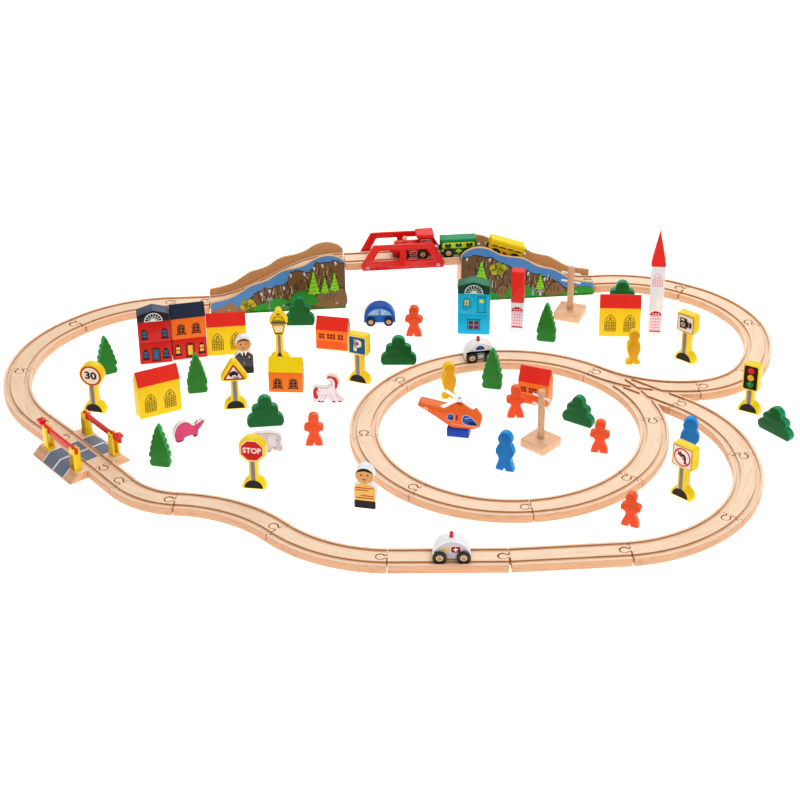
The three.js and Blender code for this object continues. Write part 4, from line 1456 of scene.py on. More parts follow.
def gabled(shape, width, eave, ridge, wall, roof, base=0.0):
    """A block whose roof ridge runs along it."""
    half = width / 2
    beam(shape, rounded([(0, base), (DEPTH, base), (DEPTH, eave), (DEPTH / 2, ridge - 0.4),
                         (0, eave)], 0.6, 2), -half, half, wall, 0.5)
    slopes = [(-0.25, eave - 0.4), (-0.2, eave + 0.3), (DEPTH / 2 - 0.6, ridge),
              (DEPTH / 2 + 0.6, ridge), (DEPTH + 0.2, eave + 0.3), (DEPTH + 0.25, eave - 0.4),
              (DEPTH / 2, ridge - 2.2)]
    beam(shape, slopes, -half - 0.12, half + 0.12, roof, 0.15)


def lattice(shape, x, z0, width, height, lines, fill, columns=4, rows=4, thick=0.75):
    """A pointed window with crossing glazing bars."""
    shape.print(arch(x, z0, width, height), lines)
    shape.print(arch(x, z0 + thick, width - 2 * thick, height - 2.4 * thick), fill, 2)
    spring = z0 + height - width * 0.8
    for i in range(1, columns):
        dx = width * (i / columns - 0.5)
        rise = acos(min(1.0, (abs(dx) * 2 / width) ** 1.25)) * 2 / pi
        top = spring + (0.8 * width * rise - 1.5 * thick if dx else width * 0.3)
        shape.print(rect(x + dx - thick / 2, x + dx + thick / 2, z0 + 0.3, top), lines, 3)
    for j in range(1, rows + 1):
        z = z0 + (spring - z0) * j / rows
        shape.print(rect(x - width / 2 + 0.2, x + width / 2 - 0.2, z - thick / 2, z + thick / 2),
                    lines, 4)
    peak = spring + width * 0.42
    shape.print([(x - 1.3, peak), (x, peak - 1.7), (x + 1.3, peak), (x, peak + 1.7)], lines, 3)
    for side in (-1, 1):
        shape.print(line(x, spring + width * 0.28, x + side * width * 0.3, spring + width * 0.1,
                         thick), lines, 3)


def round_head(x, z0, spring, half, shrink, count):
    """A window outline with a half-round top, made narrower all round."""
    r = half - shrink
    foot = [(x - r, z0 + shrink), (x + r, z0 + shrink)]
    return foot + circle(x, z0 + spring, r, count, 0, 180)


def sash(shape, x, z0, width, height, dark, wall):
    """A round-headed window: outline, dark panes, glazing bars and a sill."""
    half = width / 2

    def head(shrink):
        return round_head(x, z0, height - half, half, shrink, 14)

    nested(shape, head, (0, dark), (0.8, wall), (1.5, dark))
    bars = [rect(x - 0.4, x + 0.4, z0 + 1, z0 + height - 0.9)]
    bars += [rect(x - half + 1, x + half - 1, z - 0.35, z + 0.35)
             for z in (z0 + height * 0.34, z0 + height * 0.64)]
    prints(shape, bars, wall, 4)
    shape.print(tile(x - half - 1.2, x + half + 1.2, z0 - 1.2, z0 + 0.2, 0.4, 2), dark)
    for side in (-half, half):
        shape.print(rect(x + side - 0.7, x + side + 0.7, z0 - 2.2, z0 - 1), dark)


def narrow(shape, x, z0, width, height, dark, pane):
    """A narrow window under a pointed hood, with a heavy sill."""
    half = width / 2

    def hood(shrink, low):
        h, top = half - shrink, z0 + height - shrink
        return [(x - h, low), (x + h, low), (x + h, z0 + height * 0.72),
                (x + h * 0.5, z0 + height * 0.86 - shrink * 0.3), (x, top),
                (x - h * 0.5, z0 + height * 0.86 - shrink * 0.3), (x - h, z0 + height * 0.72)]

    shape.print(hood(0, z0), dark)
    for low, high in ((0.12, 0.38), (0.46, 0.72)):
        glass = tile(x - half + 1.3, x + half - 1.3, z0 + height * low, z0 + height * high, 0.5, 2)
        shape.print(glass, pane, 2)
    shape.print(tile(x - half - 1.5, x + half + 1.5, z0 - 1.8, z0 + 0.4, 0.5, 2), dark)


def door(shape, x, z0, width, height, dark, pane, wall):
    half = width / 2

    def leaf(shrink):
        return tile(x - half + shrink, x + half - shrink, z0 + shrink * 0.8, z0 + height - shrink,
                    0.4, 2)

    nested(shape, leaf, (0, dark), (1.0, wall), (1.8, dark), (2.8, pane))
    shape.print(tile(x - half - 1.2, x + half + 1.2, z0 - 1.4, z0 + 0.2, 0.4, 2), dark)
    shape.print([(x - half - 0.8, z0 + height), (x + half + 0.8, z0 + height),
                 (x, z0 + height + 1.6)], dark)


def fan(shape, x, z, radius, material):
    """A half-round window with spokes."""
    shape.ring_print(x, z, radius, radius - 1.3, material, 1, count=24, start=0, stop=180)
    shape.print(circle(x, z, radius * 0.3, 14, 0, 180), material)
    shape.print(rect(x - radius, x + radius, z - 0.7, z + 0.5), material, 2)
    for i in range(1, 8):
        a = pi * i / 8
        c, s = cos(a), sin(a)
        shape.print(line(x + c * radius * 0.3, z + s * radius * 0.3, x + c * (radius - 0.6),
                         z + s * (radius - 0.6), 0.9), material, 2)


def pediment(shape, width, low, eave, apex, front, slopes):
    half = width / 2
    # The front takes the darker colour and the slopes and sides a lighter copy of the same paint:
    # painted shade on the front, painted highlight on the slopes.
    shape.slab(rounded([(-half, low), (half, low), (half, eave), (0, apex), (-half, eave)], 0.7, 2),
               0, DEPTH, slopes, 0.6, face=front)


def block(shape, width, low, high, material):
    half = width / 2
    shape.box(-half, half, 0, DEPTH, low + 0.08, high, material, 0.9)


def red_house():
    shape = Shape()
    width, wall, dark, blue = 47, paint((206, 34, 30)), ink(SILL), ink((36, 108, 150))
    block(shape, width, 0, 34.2, wall)
    block(shape, width, 34.2, 69.2, wall)
    # a darker front and a lighter slope colour of one paint: painted shade and painted highlight
    pediment(shape, width, 69.3, 81, 88, paint((30, 30, 38)), paint((76, 88, 110)))
    fan(shape, 0, 70.4, 13.4, ink((228, 232, 238)))
    for x, z in ((-14.5, 42), (15, 42), (-14.5, 8.5), (15, 8.5)):
        narrow(shape, x, z, 8.6, 17, dark, blue)
    door(shape, 0.5, 5, 12.5, 20, dark, blue, wall)
    shape.piece("townhouse", "root", "house_red", spot(-507, 211, 9), ["townhouse_red"])


def orange_house():
    shape = Shape()
    low, high = paint((214, 40, 30)), paint((242, 118, 20))
    dark, black, amber = ink(SILL), ink(BLACK), ink((250, 196, 70))
    block(shape, 51, 0, 33.9, low)
    gabled(shape, 51, 68.5, 87, high, paint((40, 52, 78)), base=34)
    for x in (-11, 11):
        sash(shape, x, 43, 12, 16, black, high)
    for x in (-17.5, 17.5):
        narrow(shape, x, 8.5, 8.4, 18, dark, amber)
    door(shape, 0.5, 4.4, 12.6, 21, dark, amber, low)
    shape.piece("tall_house", "root", "paint_orange", spot(-458, 224, 12))


def yellow_house(name, x, y, yaw, width, eave, ridge):
    shape = Shape()
    wall = paint(HOUSE_YELLOW)
    gabled(shape, width, eave, ridge, wall, paint(ROOF_RED))
    for side in (-1, 1):
        lattice(shape, side * width * 0.235, 8.5, 17, 29, ink((84, 62, 6)), wall, 5, 6, thick=0.65)
    shape.piece(name, "root", "paint_yellow", spot(x, y, yaw))


def yellow_roofed_house():
    shape = Shape()
    wall = paint(HOUSE_ORANGE)
    gabled(shape, 49, 33, 52, wall, paint((252, 222, 10)))
    for x in (-11.5, 11):
        sash(shape, x, 7.4, 12.6, 15.5, ink(BLACK), wall)
    shape.piece("yellow_roof_house", "root", "paint_orange", spot(-313, 122, -4))


def brick_house(name, x, y, yaw, width, eave, ridge):
    shape = Shape()
    wall, dark = paint(BRICK), ink((150, 22, 20))
    gabled(shape, width, eave, ridge, wall, paint(ROOF_RED))
    k = width / 48
    for middle, columns in ((-15, 2), (-0.6, 3), (13.6, 2)):
        for i in range(columns):
            for low, high in ((18.2, 22.0), (22.8, 26.6)):
                left = (middle + (i - columns / 2) * 4.4) * k
                shape.print(tile(left + 0.35, left + 4.0, low, high, 0.3, 2), dark, 1)
    red = ink((224, 58, 22))
    for row in range(5):
        for i in range(16):
            a = (-22.2 + i * 2.8 + (1.4 if row % 2 else 0)) * k
            z = 2.4 + row * 2.5
            lean = 1.3 if row % 2 else -1.3
            shape.print([(a - 0.7, z), (a + 0.7, z), (a + 0.7 + lean, z + 2.2),
                         (a - 0.7 + lean, z + 2.2)], red, 1)
    shape.piece(name, "root", "paint_orange", spot(x, y, yaw))


def cyan_house():
    shape = Shape()
    wall, teal = paint((6, 184, 222)), ink((10, 108, 140))
    pane, dark = ink((226, 224, 70)), ink((134, 18, 34))
    block(shape, 48, 0, 33, wall)
    block(shape, 48, 33, 68, wall)
    # a darker front and a lighter slope colour of one paint: painted shade and painted highlight
    pediment(shape, 48, 68.1, 81, 88, paint((4, 66, 46)), paint((44, 128, 98)))
    fan(shape, 0, 69.4, 14, ink((206, 226, 222)))
    nested(shape, lambda shrink: round_head(-10.5, 47, 9, 5.4, shrink, 12),
           (0, teal), (0.8, wall), (1.6, teal), (2.2, pane))
    prints(shape, [rect(-10.9, -10.1, 48, 60), rect(-15, -6, 52.6, 53.3)], teal, 5)
    for points in ([(-19, 46), (-15.5, 44.4), (-12.5, 45.6), (-9.5, 44.0), (-6, 45.6), (-2, 44.8)],
                   [(-16, 42.4), (-12, 41.4), (-7, 42.4)]):
        prints(shape, strokes(points, 0.8), teal, 1)
    nested(shape, lambda k: rect(5.2 + k, 18.2 - k, 38 + k * 0.4, 63.5 - k), (0, teal), (0.7, wall),
           (2.0, teal), (2.5, wall))
    shape.print(rect(8.6, 14.8, 54, 59.6), pane, 5)
    prints(shape, [rect(3.6, 19.8, 36.6, 37.6), rect(4.2, 19.2, 63.4, 64.4),
                   rect(8.4, 15, 52.2, 52.8)], teal, 1)
    nested(shape, lambda k: rect(-9.6 + k, 9.6 - k, 7.6 + k, 25 - k), (0, teal), (1.1, wall))
    shape.print(rect(-11, 11, 24.6, 26), teal, 1)
    for x0, x1 in ((-7.6, -0.7), (0.7, 7.6)):
        for low, high in ((9.4, 15.4), (16.8, 22.8)):
            shape.print(rect(x0, x1, low, high), dark, 3)
    shape.piece("cyan_house", "root", "paint_cyan", spot(-38, 288, -5))


def tower_door(shape, low, face):
    """The tower's printed door: a bar, a lattice of ogees and an arch with dots."""
    red, pink = ink((200, 22, 50)), ink((240, 170, 186))
    white = ink((248, 244, 244))
    shape.print(rect(-8.2, 8.2, low, low + 2.3), red, 1, face)
    shape.print(rect(-7.6, 7.6, low + 3.2, low + 27), pink, 1, face)
    for i in range(4):
        for j in range(5):
            x, z = -5.6 + 3.75 * i, low + 5.6 + 4.7 * j
            shape.print(rounded([(x - 1.6, z), (x, z - 1.9), (x + 1.6, z), (x, z + 1.9)], 0.5, 2),
                        white, 2, face)
    shape.print([(-8.6, low + 28)] + [(8.6 * cos(a), low + 28 + 7 * sin(a)) for a in
                                      (pi * k / 12 for k in range(13))][::-1][1:], red, 1, face)
    prints(shape, [circle(x, low + 30.6, 1.1, 10) for x in (-4, 0, 4)], white, 2, face)


def towers():
    white, red = paint((240, 238, 240)), paint((232, 44, 34))
    shape = Shape()
    shape.box(-9.6, 9.6, 0, 17, 0.08, 51, white, 0.8)
    shape.box(-9.6, 9.6, 0, 17, 51.1, 102, red, 0.8)
    tower_door(shape, 9, 0.0)
    shape.piece("red_white_tower", "root", "tower_white", spot(27, 291, -9))
    shape = Shape()
    shape.box(-10.5, 10.5, -10.5, 10.5, 0.08, 118.4, white, 0.8)
    tower_door(shape, 9.5, -10.5)
    at = move(0, -10.5, 0)
    faced = Shape()
    lattice(faced, 0, 85, 14.5, 23, ink((232, 150, 170)), ink((244, 240, 242)), 4, 4, thick=0.7)
    base = len(shape.verts)
    shape.verts += [at @ v for v in faced.verts]
    shape.faces += [[base + k for k in points] for points in faced.faces]
    shape.slots += [shape.slot(faced.materials[index]) for index in faced.slots]
    shape.flat += [True] * len(faced.faces)
    side = 10.9
    rings = []
    for z, k in ((118.5, 0.97), (118.9, 1.0), (119.8, 1.0), (172.6, 0.03), (173.6, 0.012)):
        rings.append([(x * side * k, y * side * k, z) for x, y in
                      rounded([(-1, -1), (1, -1), (1, 1), (-1, 1)], 0.08, 2)])
    shape.rings(rings, red)
    shape.piece("spire", "root", "tower_white", spot(233.5, 282, -7), ["spire_tower"])


# ---- road signs -----------------------------------------------------------------------
SIGN_YELLOW, CREAM, GREY_POST = (250, 214, 12), (250, 228, 214), (140, 132, 136)
NECK, FOOT_RADIUS = 6.5, 16.5


def sign_body(head):
    """Foot, neck and head cut from one board; the head's right half starts at the neck."""
    lead = degrees(acos(NECK / FOOT_RADIUS))
    foot = circle(0, 0, FOOT_RADIUS, 12, 0, lead)
    shape = Shape()
    neck_side = [(NECK - 0.6, foot[-1][1] + 6)]
    outline = mirrored([(FOOT_RADIUS - 0.4, 0)] + foot[1:] + neck_side + head)
    shape.slab(outline, 0, SIGN_BOARD, paint(SIGN_YELLOW, *ENAMEL), 1.1)
    shape.print(circle(0, 1.6, 12.5, 22, 0, 180), ink((34, 26, 24)), 1)
    return shape


def stripe(shape, low, high, half=2.9):
    """The grey post printed on a sign's neck."""
    shape.print(rect(-half, half, low, high), ink(GREY_POST), 1)
    shape.print(rect(-half, -half + 0.8, low, high), ink((172, 164, 168)), 2)


def plate(half, low, high, radius=3.2):
    """The right half of a square head."""
    whole = rounded([(-half, low), (half, low), (half, high), (-half, high)], radius, 4)
    right = [(x, z) for x, z in whole if x > 0]
    right.sort(key=lambda p: atan2(p[1] - (low + high) / 2, p[0]))
    return [(NECK - 0.8, low)] + right + [(0, high)]


def panel_sign(head, low, panel, edge, rim, field):
    """A sign with a rounded panel that has an edge of another colour."""
    shape = sign_body(head)
    stripe(shape, 13, low)
    shape.print(panel, ink(edge), 2)
    shape.print(inset(panel, rim), ink(field), 3)
    return shape


def speed_sign():
    radius, middle = 17.5, 59.5
    lead = degrees(acos((NECK - 1) / radius))
    shape = sign_body(circle(0, middle, radius, 26, -lead, 90)[:-1] + [(0, middle + radius)])
    stripe(shape, 13, middle - 15)
    shape.print(circle(0, middle, 15.4, 36), ink((190, 34, 26)), 2)
    shape.print(circle(0, middle, 13.0, 36), ink(CREAM), 3)
    shape.text("30", 15.5, 0, middle, ink(BLACK), 4, squeeze=1.15)
    shape.piece("sign_speed", "root", "paint_yellow", spot(-582, 72, -15))


def skid_sign():
    shape = sign_body([(NECK - 1, 46), (15.5, 46), (18, 47.2), (19, 49.1), (18.4, 51.5),
                       (4.2, 75.2), (2.2, 76.7), (0, 77)])
    stripe(shape, 13, 46)
    frame = rounded([(-16.2, 48), (16.2, 48), (0, 74)], 4.4, 5)
    shape.print(frame, ink((190, 34, 26)), 2)
    shape.print(inset(frame, 2.4), ink(CREAM), 3)
    black = ink(BLACK)
    car = rounded([(-6.6, 55.1), (5.6, 56.5), (6.6, 59), (4.0, 60.1), (2.6, 62.5), (-3.6, 61.8),
                   (-5.2, 59.2), (-7.4, 58.4)], 1.0, 3)
    shape.print(car, black, 4)
    prints(shape, [circle(-4, 55, 1.7, 12), circle(4.2, 55.9, 1.7, 12)], black, 4)
    wave = [(-1, 53.1), (2, 52), (4.6, 52.9), (7.4, 51.9)]
    for stroke in strokes(wave, 1.1):
        prints(shape, [stroke, [(a, b - 2.4) for a, b in stroke]], black, 4)
    shape.piece("sign_skid", "root", "paint_yellow", spot(-382, 76, 5))


def lantern():
    head = [(5.0, 48), (7.4, 51), (10.4, 65), (13.2, 68.4), (13.2, 71), (8.6, 79), (5.4, 81.8),
            (4.8, 85.4), (2.6, 88), (0, 88.8)]
    shape = sign_body(head)
    stripe(shape, 16, 48, 2.1)
    dark, grey, cream = ink((60, 44, 24)), ink((104, 96, 92)), ink((250, 226, 196))
    glass = [(-6.2, 51.4), (6.2, 51.4), (9.0, 65.2), (-9.0, 65.2)]
    shape.print(glass, dark, 2)
    shape.print(inset(glass, 0.8), ink(SIGN_YELLOW), 3)
    shape.print(inset(glass, 1.7), cream, 4)
    shape.print([(-5.4, 49.4), (5.4, 49.4), (5.8, 51.4), (-5.8, 51.4)], grey, 3)
    roof = [(-11.4, 66.6), (11.4, 66.6), (10.4, 70), (-10.4, 70)]
    shape.print(roof, grey, 3)
    shape.print([(-9.6, 70.4), (9.6, 70.4), (5.2, 78.4), (-5.2, 78.4)], dark, 2)
    shape.print([(-8.2, 71.2), (8.2, 71.2), (4.4, 77.6), (-4.4, 77.6)], ink(SIGN_YELLOW), 3)
    for x in (-3.1, 3.1):
        shape.ring_print(x, 71.2, 2.8, 1.7, dark, 4, count=12, start=0, stop=180)
    shape.print([(-3.4, 13), (3.4, 13), (1.8, 18.6), (-1.8, 18.6)], dark, 2)
    shape.print(circle(0, 81.2, 2.6, 12, 0, 180), grey, 2)
    shape.piece("street_lamp", "root", "paint_yellow", spot(-325, 205, 0))


def parking_sign():
    blue, white = (18, 96, 132), ink(CREAM)
    panel = tile(-13.2, 13.2, 48, 76, 1.8, 3)
    shape = panel_sign(plate(15.2, 46, 78), 46, panel, CREAM, 1.0, blue)
    shape.print(tile(-5.6, -0.6, 52.4, 71.8, 1.6, 3), white, 4)
    shape.print(rounded([(-5.6, 58.6), (2, 58.6), (6.8, 61), (6.8, 69.4), (2, 71.8), (-5.6, 71.8)],
                        4.0, 4), white, 4)
    shape.print(tile(-1.2, 2.4, 63, 67.4, 1.2, 3), ink(blue), 5)
    shape.piece("sign_parking", "root", "paint_yellow", spot(-210, 146, -23))


def octagon(radius, z):
    return [(radius * cos(radians(22.5 + 45 * i)), z + radius * sin(radians(22.5 + 45 * i)))
            for i in range(8)]


def stop_sign():
    middle, across = 60, 19.4
    corners = octagon(across, middle)
    right = [corners[6], corners[7], corners[0], corners[1]]
    shape = sign_body([(NECK - 0.8, middle - across * 0.924)] + right
                      + [(0, middle + across * 0.924)])
    stripe(shape, 13, middle - 17)
    shape.print(octagon(16.4, middle), ink((250, 214, 200)), 2)
    shape.print(octagon(15.3, middle), ink((204, 26, 30)), 3)
    shape.text("STOP", 11.2, 0, middle, ink((252, 226, 216)), 4, squeeze=0.92)
    shape.piece("sign_stop", "root", "paint_yellow", spot(-345, -132, -9))


def camera_sign():
    panel = tile(-13.4, 13.4, 49.4, 76.2, 1.6, 3)
    shape = panel_sign(plate(15.4, 47.6, 78), 47.6, panel, (52, 44, 36), 0.8, CREAM)
    black, cream = ink(BLACK), ink(CREAM)
    shape.print(tile(-9.6, 2.4, 54.4, 71, 1.0, 3), black, 4)
    shape.print(rounded([(2.4, 58), (5.4, 56.6), (5.4, 67.6), (2.4, 66.2)], 0.4, 2), black, 4)
    shape.print(tile(6.2, 10.4, 57.4, 66.6, 1.6, 3), black, 4)
    shape.print(circle(-4.2, 60.4, 3.7, 20), cream, 5)
    shape.print(circle(-4.2, 60.4, 2.5, 18), black, 6)
    shape.print(circle(-4.2, 60.4, 1.0, 12), cream, 7)
    shape.print(tile(-7.6, -2.2, 66.8, 69.2, 0.5, 2), cream, 5)
    shape.piece("sign_camera", "root", "paint_yellow", spot(266, 198, -41))


def traffic_light():
    shape = sign_body(plate(12.0, 36, 76, 3.0))
    stripe(shape, 13, 36)
    shape.print(tile(-9.8, 9.8, 38, 74.2, 2.6, 4), ink((26, 20, 18)), 2)
    for z, colour, glow in ((67, (217, 30, 36), (241, 71, 71)),
                            (56.2, (237, 181, 14), (246, 217, 81)),
                            (45.4, (35, 141, 45), (91, 191, 91))):
        shape.print(circle(0, z, 4.9, 24), ink(colour), 3)
        shape.print(circle(-1.2, z + 1.4, 1.5, 14), ink(glow), 4)
    shape.piece("traffic_light", "root", "paint_yellow", spot(338, 50, -30))


def turn_sign():
    panel = tile(-15, 15, 48, 78, 1.6, 3)
    shape = panel_sign(plate(17.0, 46, 80), 46, panel, (150, 140, 140), 0.9, CREAM)
    red, black = ink((214, 36, 26)), ink((24, 22, 26))
    shape.print(circle(0, 63, 13.2, 36), red, 4)
    shape.print(circle(0, 63, 11.2, 36), ink((252, 238, 230)), 5)
    arrow = [(3.0, 54.6), (6.4, 54.6), (6.0, 64), (3.8, 67.8), (-2.0, 68.6), (-2.6, 71.4),
             (-8.2, 66.2), (-2.0, 62.8), (-1.9, 65.2), (1.6, 64.4), (3.2, 61.6)]
    shape.print(arrow, black, 6)
    shape.print(line(-8.4, 71.2, 8.4, 54.8, 1.7), red, 7)
    shape.piece("sign_no_turn", "root", "paint_yellow", spot(216, -165, -44))


# ---- trees, animals, poles and figures ------------------------------------------------
FIR = [(11, 0), (13.5, 1.5), (14.5, 5), (13.8, 9), (11.8, 12), (14.8, 15.5), (14.2, 21), (12, 23),
       (13, 27), (11.8, 31), (10, 33), (10.6, 36.5), (9.6, 40), (7.8, 42), (8.2, 45.5), (7, 49),
       (5, 51), (5, 54.5), (3.6, 58.5), (1.6, 62), (0, 63)]
BUSH = [(22, 0), (25, 4), (25.5, 9), (24, 14), (20.5, 18), (17.5, 19.5), (18.5, 24), (17.5, 29),
        (14, 32.5), (10, 33.5), (9.8, 38), (7.5, 43), (3.5, 46), (0, 46.8)]
GINGER = [(2.2, 0), (12, 0), (11, 7), (7.5, 16), (6.5, 21), (9, 25), (12.5, 26), (13.7, 30),
          (12.5, 34.5), (8.5, 36), (5.5, 37.5), (6.8, 41), (7.6, 46), (6, 51), (3, 53.6), (0, 54.3)]
DAME = [(2.2, 0), (11, 1), (10, 5), (6.5, 9), (7.5, 16), (9.5, 22), (10, 30), (8.5, 36), (6, 40),
        (8, 45), (8.3, 49), (6, 54), (0, 57)]
MAN = [(2.5, 0), (13, 1), (12, 6), (9.5, 14), (9, 20), (12.5, 26), (13, 31), (10.5, 38), (8, 42),
       (10, 47), (9.5, 52), (7, 57), (3, 60), (0, 60.5)]


def smooth_half(right, notch=0.0):
    """A smoothed right half mirrored, with an optional notch between the feet."""
    eased_half = [right[0]] + spline(right[1:], 3, False)
    if notch:
        return mirrored([(0.01, notch)] + eased_half)[1:]
    return mirrored(eased_half)


def cutout(name, right, x, y, yaw, front, side, slot, width=1.0, height=1.0, notch=0.0):
    shape = Shape()
    outline = [(a * width, b * height) for a, b in smooth_half(right, notch)]
    # The front face takes the darker of the two colours and the sides and top the lighter one:
    # painted shade on the front, painted highlight round the edges.
    shape.slab(outline, 0, BOARD, paint(side, 0.38, 0.08), 0.9, face=paint(front, 0.42, 0.05))
    shape.piece(name, "root", slot, spot(x, y, yaw))


def greenery():
    # each tree gets a darker front and a lighter side colour of one paint: painted shade and
    # painted highlight
    for i, (x, y, yaw, height) in enumerate(((-574, 179, 25, 61), (-439, 122, 10, 63),
                                             (-475, -74, -12, 64), (69, 262, -12, 62),
                                             (-18, 124, -13, 64))):
        cutout("fir_%d" % (i + 1), FIR, x, y, yaw, (36, 124, 34), (42, 160, 76), "paint_green", 1.0,
               height / 63)
    for i, (x, y, yaw, width, height) in enumerate(((-300, 322, 0, 45, 47), (-151, 197, -1, 53, 46),
                                                    (-337, 27, 6, 52, 48), (96, 24, -34, 48, 44),
                                                    (364, -9, -51, 59, 42),
                                                    (192, 362, -6, 53, 47))):
        cutout("bush_%d" % (i + 1), BUSH, x, y, yaw, (0, 98, 38), (18, 146, 92), "paint_green",
               width / 51, height / 46.8)


def meeples():
    # each figure gets a darker front and a lighter side colour of one paint: painted shade and
    # painted highlight
    for i, (x, y, yaw) in enumerate(((-128, 283, -8), (-268, -25, 0), (12, 43, 0), (120, -52, -13),
                                     (143, -231, -24))):
        cutout("orange_figure_%d" % (i + 1), GINGER, x, y, yaw, (232, 84, 34), (244, 104, 52),
               "paint_orange", 0.98, 0.92, 5)
    for i, (x, y, yaw) in enumerate(((-79, 98, 12), (192, 189, 6))):
        cutout("yellow_figure_%d" % (i + 1), DAME, x, y, yaw, (222, 164, 6), (250, 210, 20),
               "paint_yellow", notch=3)
    for i, (x, y, yaw) in enumerate(((-11, -95, -22), (240, -65, -13))):
        cutout("blue_figure_%d" % (i + 1), MAN, x, y, yaw, (6, 116, 184), (20, 150, 226),
               "paint_blue", notch=5)


def doll_face(shape, z, radius, hair):
    """A plain doll's face: dots for eyes, a small nose, rosy cheeks and a calm mouth."""
    skin, dark, rose = ink((222, 168, 108)), ink((50, 34, 24)), ink((238, 156, 110))
    shape.print(circle(0, z, radius, 34), skin, 2)
    cap = [(radius * cos(radians(a)), z + radius * sin(radians(a))) for a in range(22, 159, 8)]
    brow = [(-radius * 0.6, z + radius * 0.52), (0, z + radius * 0.66),
            (radius * 0.6, z + radius * 0.52)]
    shape.print(cap + brow, ink(hair), 3)
    for side in (-1, 1):
        shape.print(circle(side * radius * 0.36, z + radius * 0.12, radius * 0.1, 14), dark, 4)
        shape.print(circle(side * radius * 0.6, z - radius * 0.24, radius * 0.17, 16), rose, 3)
    shape.print(circle(0, z - radius * 0.1, radius * 0.06, 10), rose, 4)
    shape.ring_print(0, z - radius * 0.24, radius * 0.3, radius * 0.22, dark, 4, count=10,
                     start=215, stop=325)


def person(head_z, radius, half, shoulder, height):
    """A peg person's outline: body, sloping shoulders, round head."""
    lead = degrees(acos(min(0.95, 7.0 / radius)))
    head = circle(0, head_z, radius, 20, -lead, 90)[:-1]
    top = [(x, z + max(0.0, (z - head_z) / radius) * (height - head_z - radius)) for x, z in head]
    right = [(half - 1.5, 0), (half, 1.5), (half, shoulder - 4), (half - 2, shoulder - 1),
             (9, shoulder + 2.6)]
    return mirrored(right + top + [(0, height)])


# brings the two people down to their height in the photo
FIGURE_HEIGHT = 0.945


def place_figure(shape, name, x, y, yaw):
    shape.verts = [Vector((a, b, c * FIGURE_HEIGHT)) for a, b, c in shape.verts]
    shape.piece(name, "root", "paint_white", spot(x, y, yaw))


def officer():
    shape = Shape()
    shape.slab(person(52.5, 11.6, 14, 35, 66), 0, BOARD, paint((244, 244, 246), *ENAMEL), 1.0)
    suit, black, white = ink((74, 76, 88)), ink((40, 38, 42)), ink((244, 244, 246))
    shape.print([(-13, 13), (13, 13), (13.2, 31), (11, 34.4), (5, 38.4), (-5, 38.4), (-11, 34.4),
                 (-13.2, 31)], suit, 1)
    shape.print(tile(-13.2, 13.2, 0.8, 13, 1.4, 3), black, 1)
    shape.print([(-5.4, 38.8), (0, 27), (5.4, 38.8)], white, 2)
    shape.print([(-1.1, 38), (1.1, 38), (1.9, 30.6), (0, 28.2), (-1.9, 30.6)], black, 3)
    for side in (-1, 1):
        shape.print([(side * 5.2, 38.8), (side * 8, 37), (side * 6, 31), (0, 25.6), (0, 27.2)],
                    ink((58, 60, 70)), 3)
        shape.print(rect(side * 9.4 - 0.3, side * 9.4 + 0.3, 14, 26), ink((50, 52, 60)), 2)
    prints(shape, [circle(0, z, 0.7, 10) for z in (17, 21)], ink((226, 196, 120)), 2)
    shape.print(circle(7.4, 29.6, 1.5, 14), ink((226, 196, 120)), 4)
    doll_face(shape, 51.2, 10.8, (138, 76, 34))
    place_figure(shape, "officer", -375, 176, 8)


def firefighter():
    shape = Shape()
    shape.slab(person(54, 13, 14.8, 38, 71), 0, BOARD, paint((244, 244, 248), *ENAMEL), 1.0)
    coat, black, red = ink((236, 196, 106)), ink((44, 32, 30)), ink((206, 58, 44))
    shape.print([(-14, 13.5), (14, 13.5), (14.1, 34), (12, 37.2), (6, 41.2), (-6, 41.2),
                 (-12, 37.2), (-14.1, 34)], coat, 1)
    shape.print(tile(-14.1, 14.1, 0.9, 13.5, 2.0, 3), black, 1)
    bars = [rect(-11.8, 11.8, 33.2, 34.8), rect(-11.8, 5.4, 29.6, 31.2),
            rect(-5.4, 11.8, 20.8, 22.4), rect(-11.8, 11.8, 17.0, 18.6)]
    prints(shape, bars, red, 2)
    prints(shape, [circle(0, z, 0.6, 10) for z in (37, 26, 24)], ink((190, 120, 40)), 2)
    doll_face(shape, 53.4, 12.2, (30, 26, 28))
    place_figure(shape, "firefighter", -197, -182, -12)


def board_animal(name, outline, x, y, yaw, art, slot):
    """A thin board with a pale margin round the printed animal."""
    shape = Shape()
    margin = inset(outline, -1.6)
    low = min(z for _, z in margin)
    margin = [(a, z - low) for a, z in margin]
    shape.slab(margin, 0, 6, paint((244, 236, 226), 0.42, 0.05), 0.5)
    for points, colour, layer in art:
        shape.print([(a, z - low) for a, z in points], ink(colour), layer)
    shape.piece(name, "root", slot, spot(x, y, yaw))


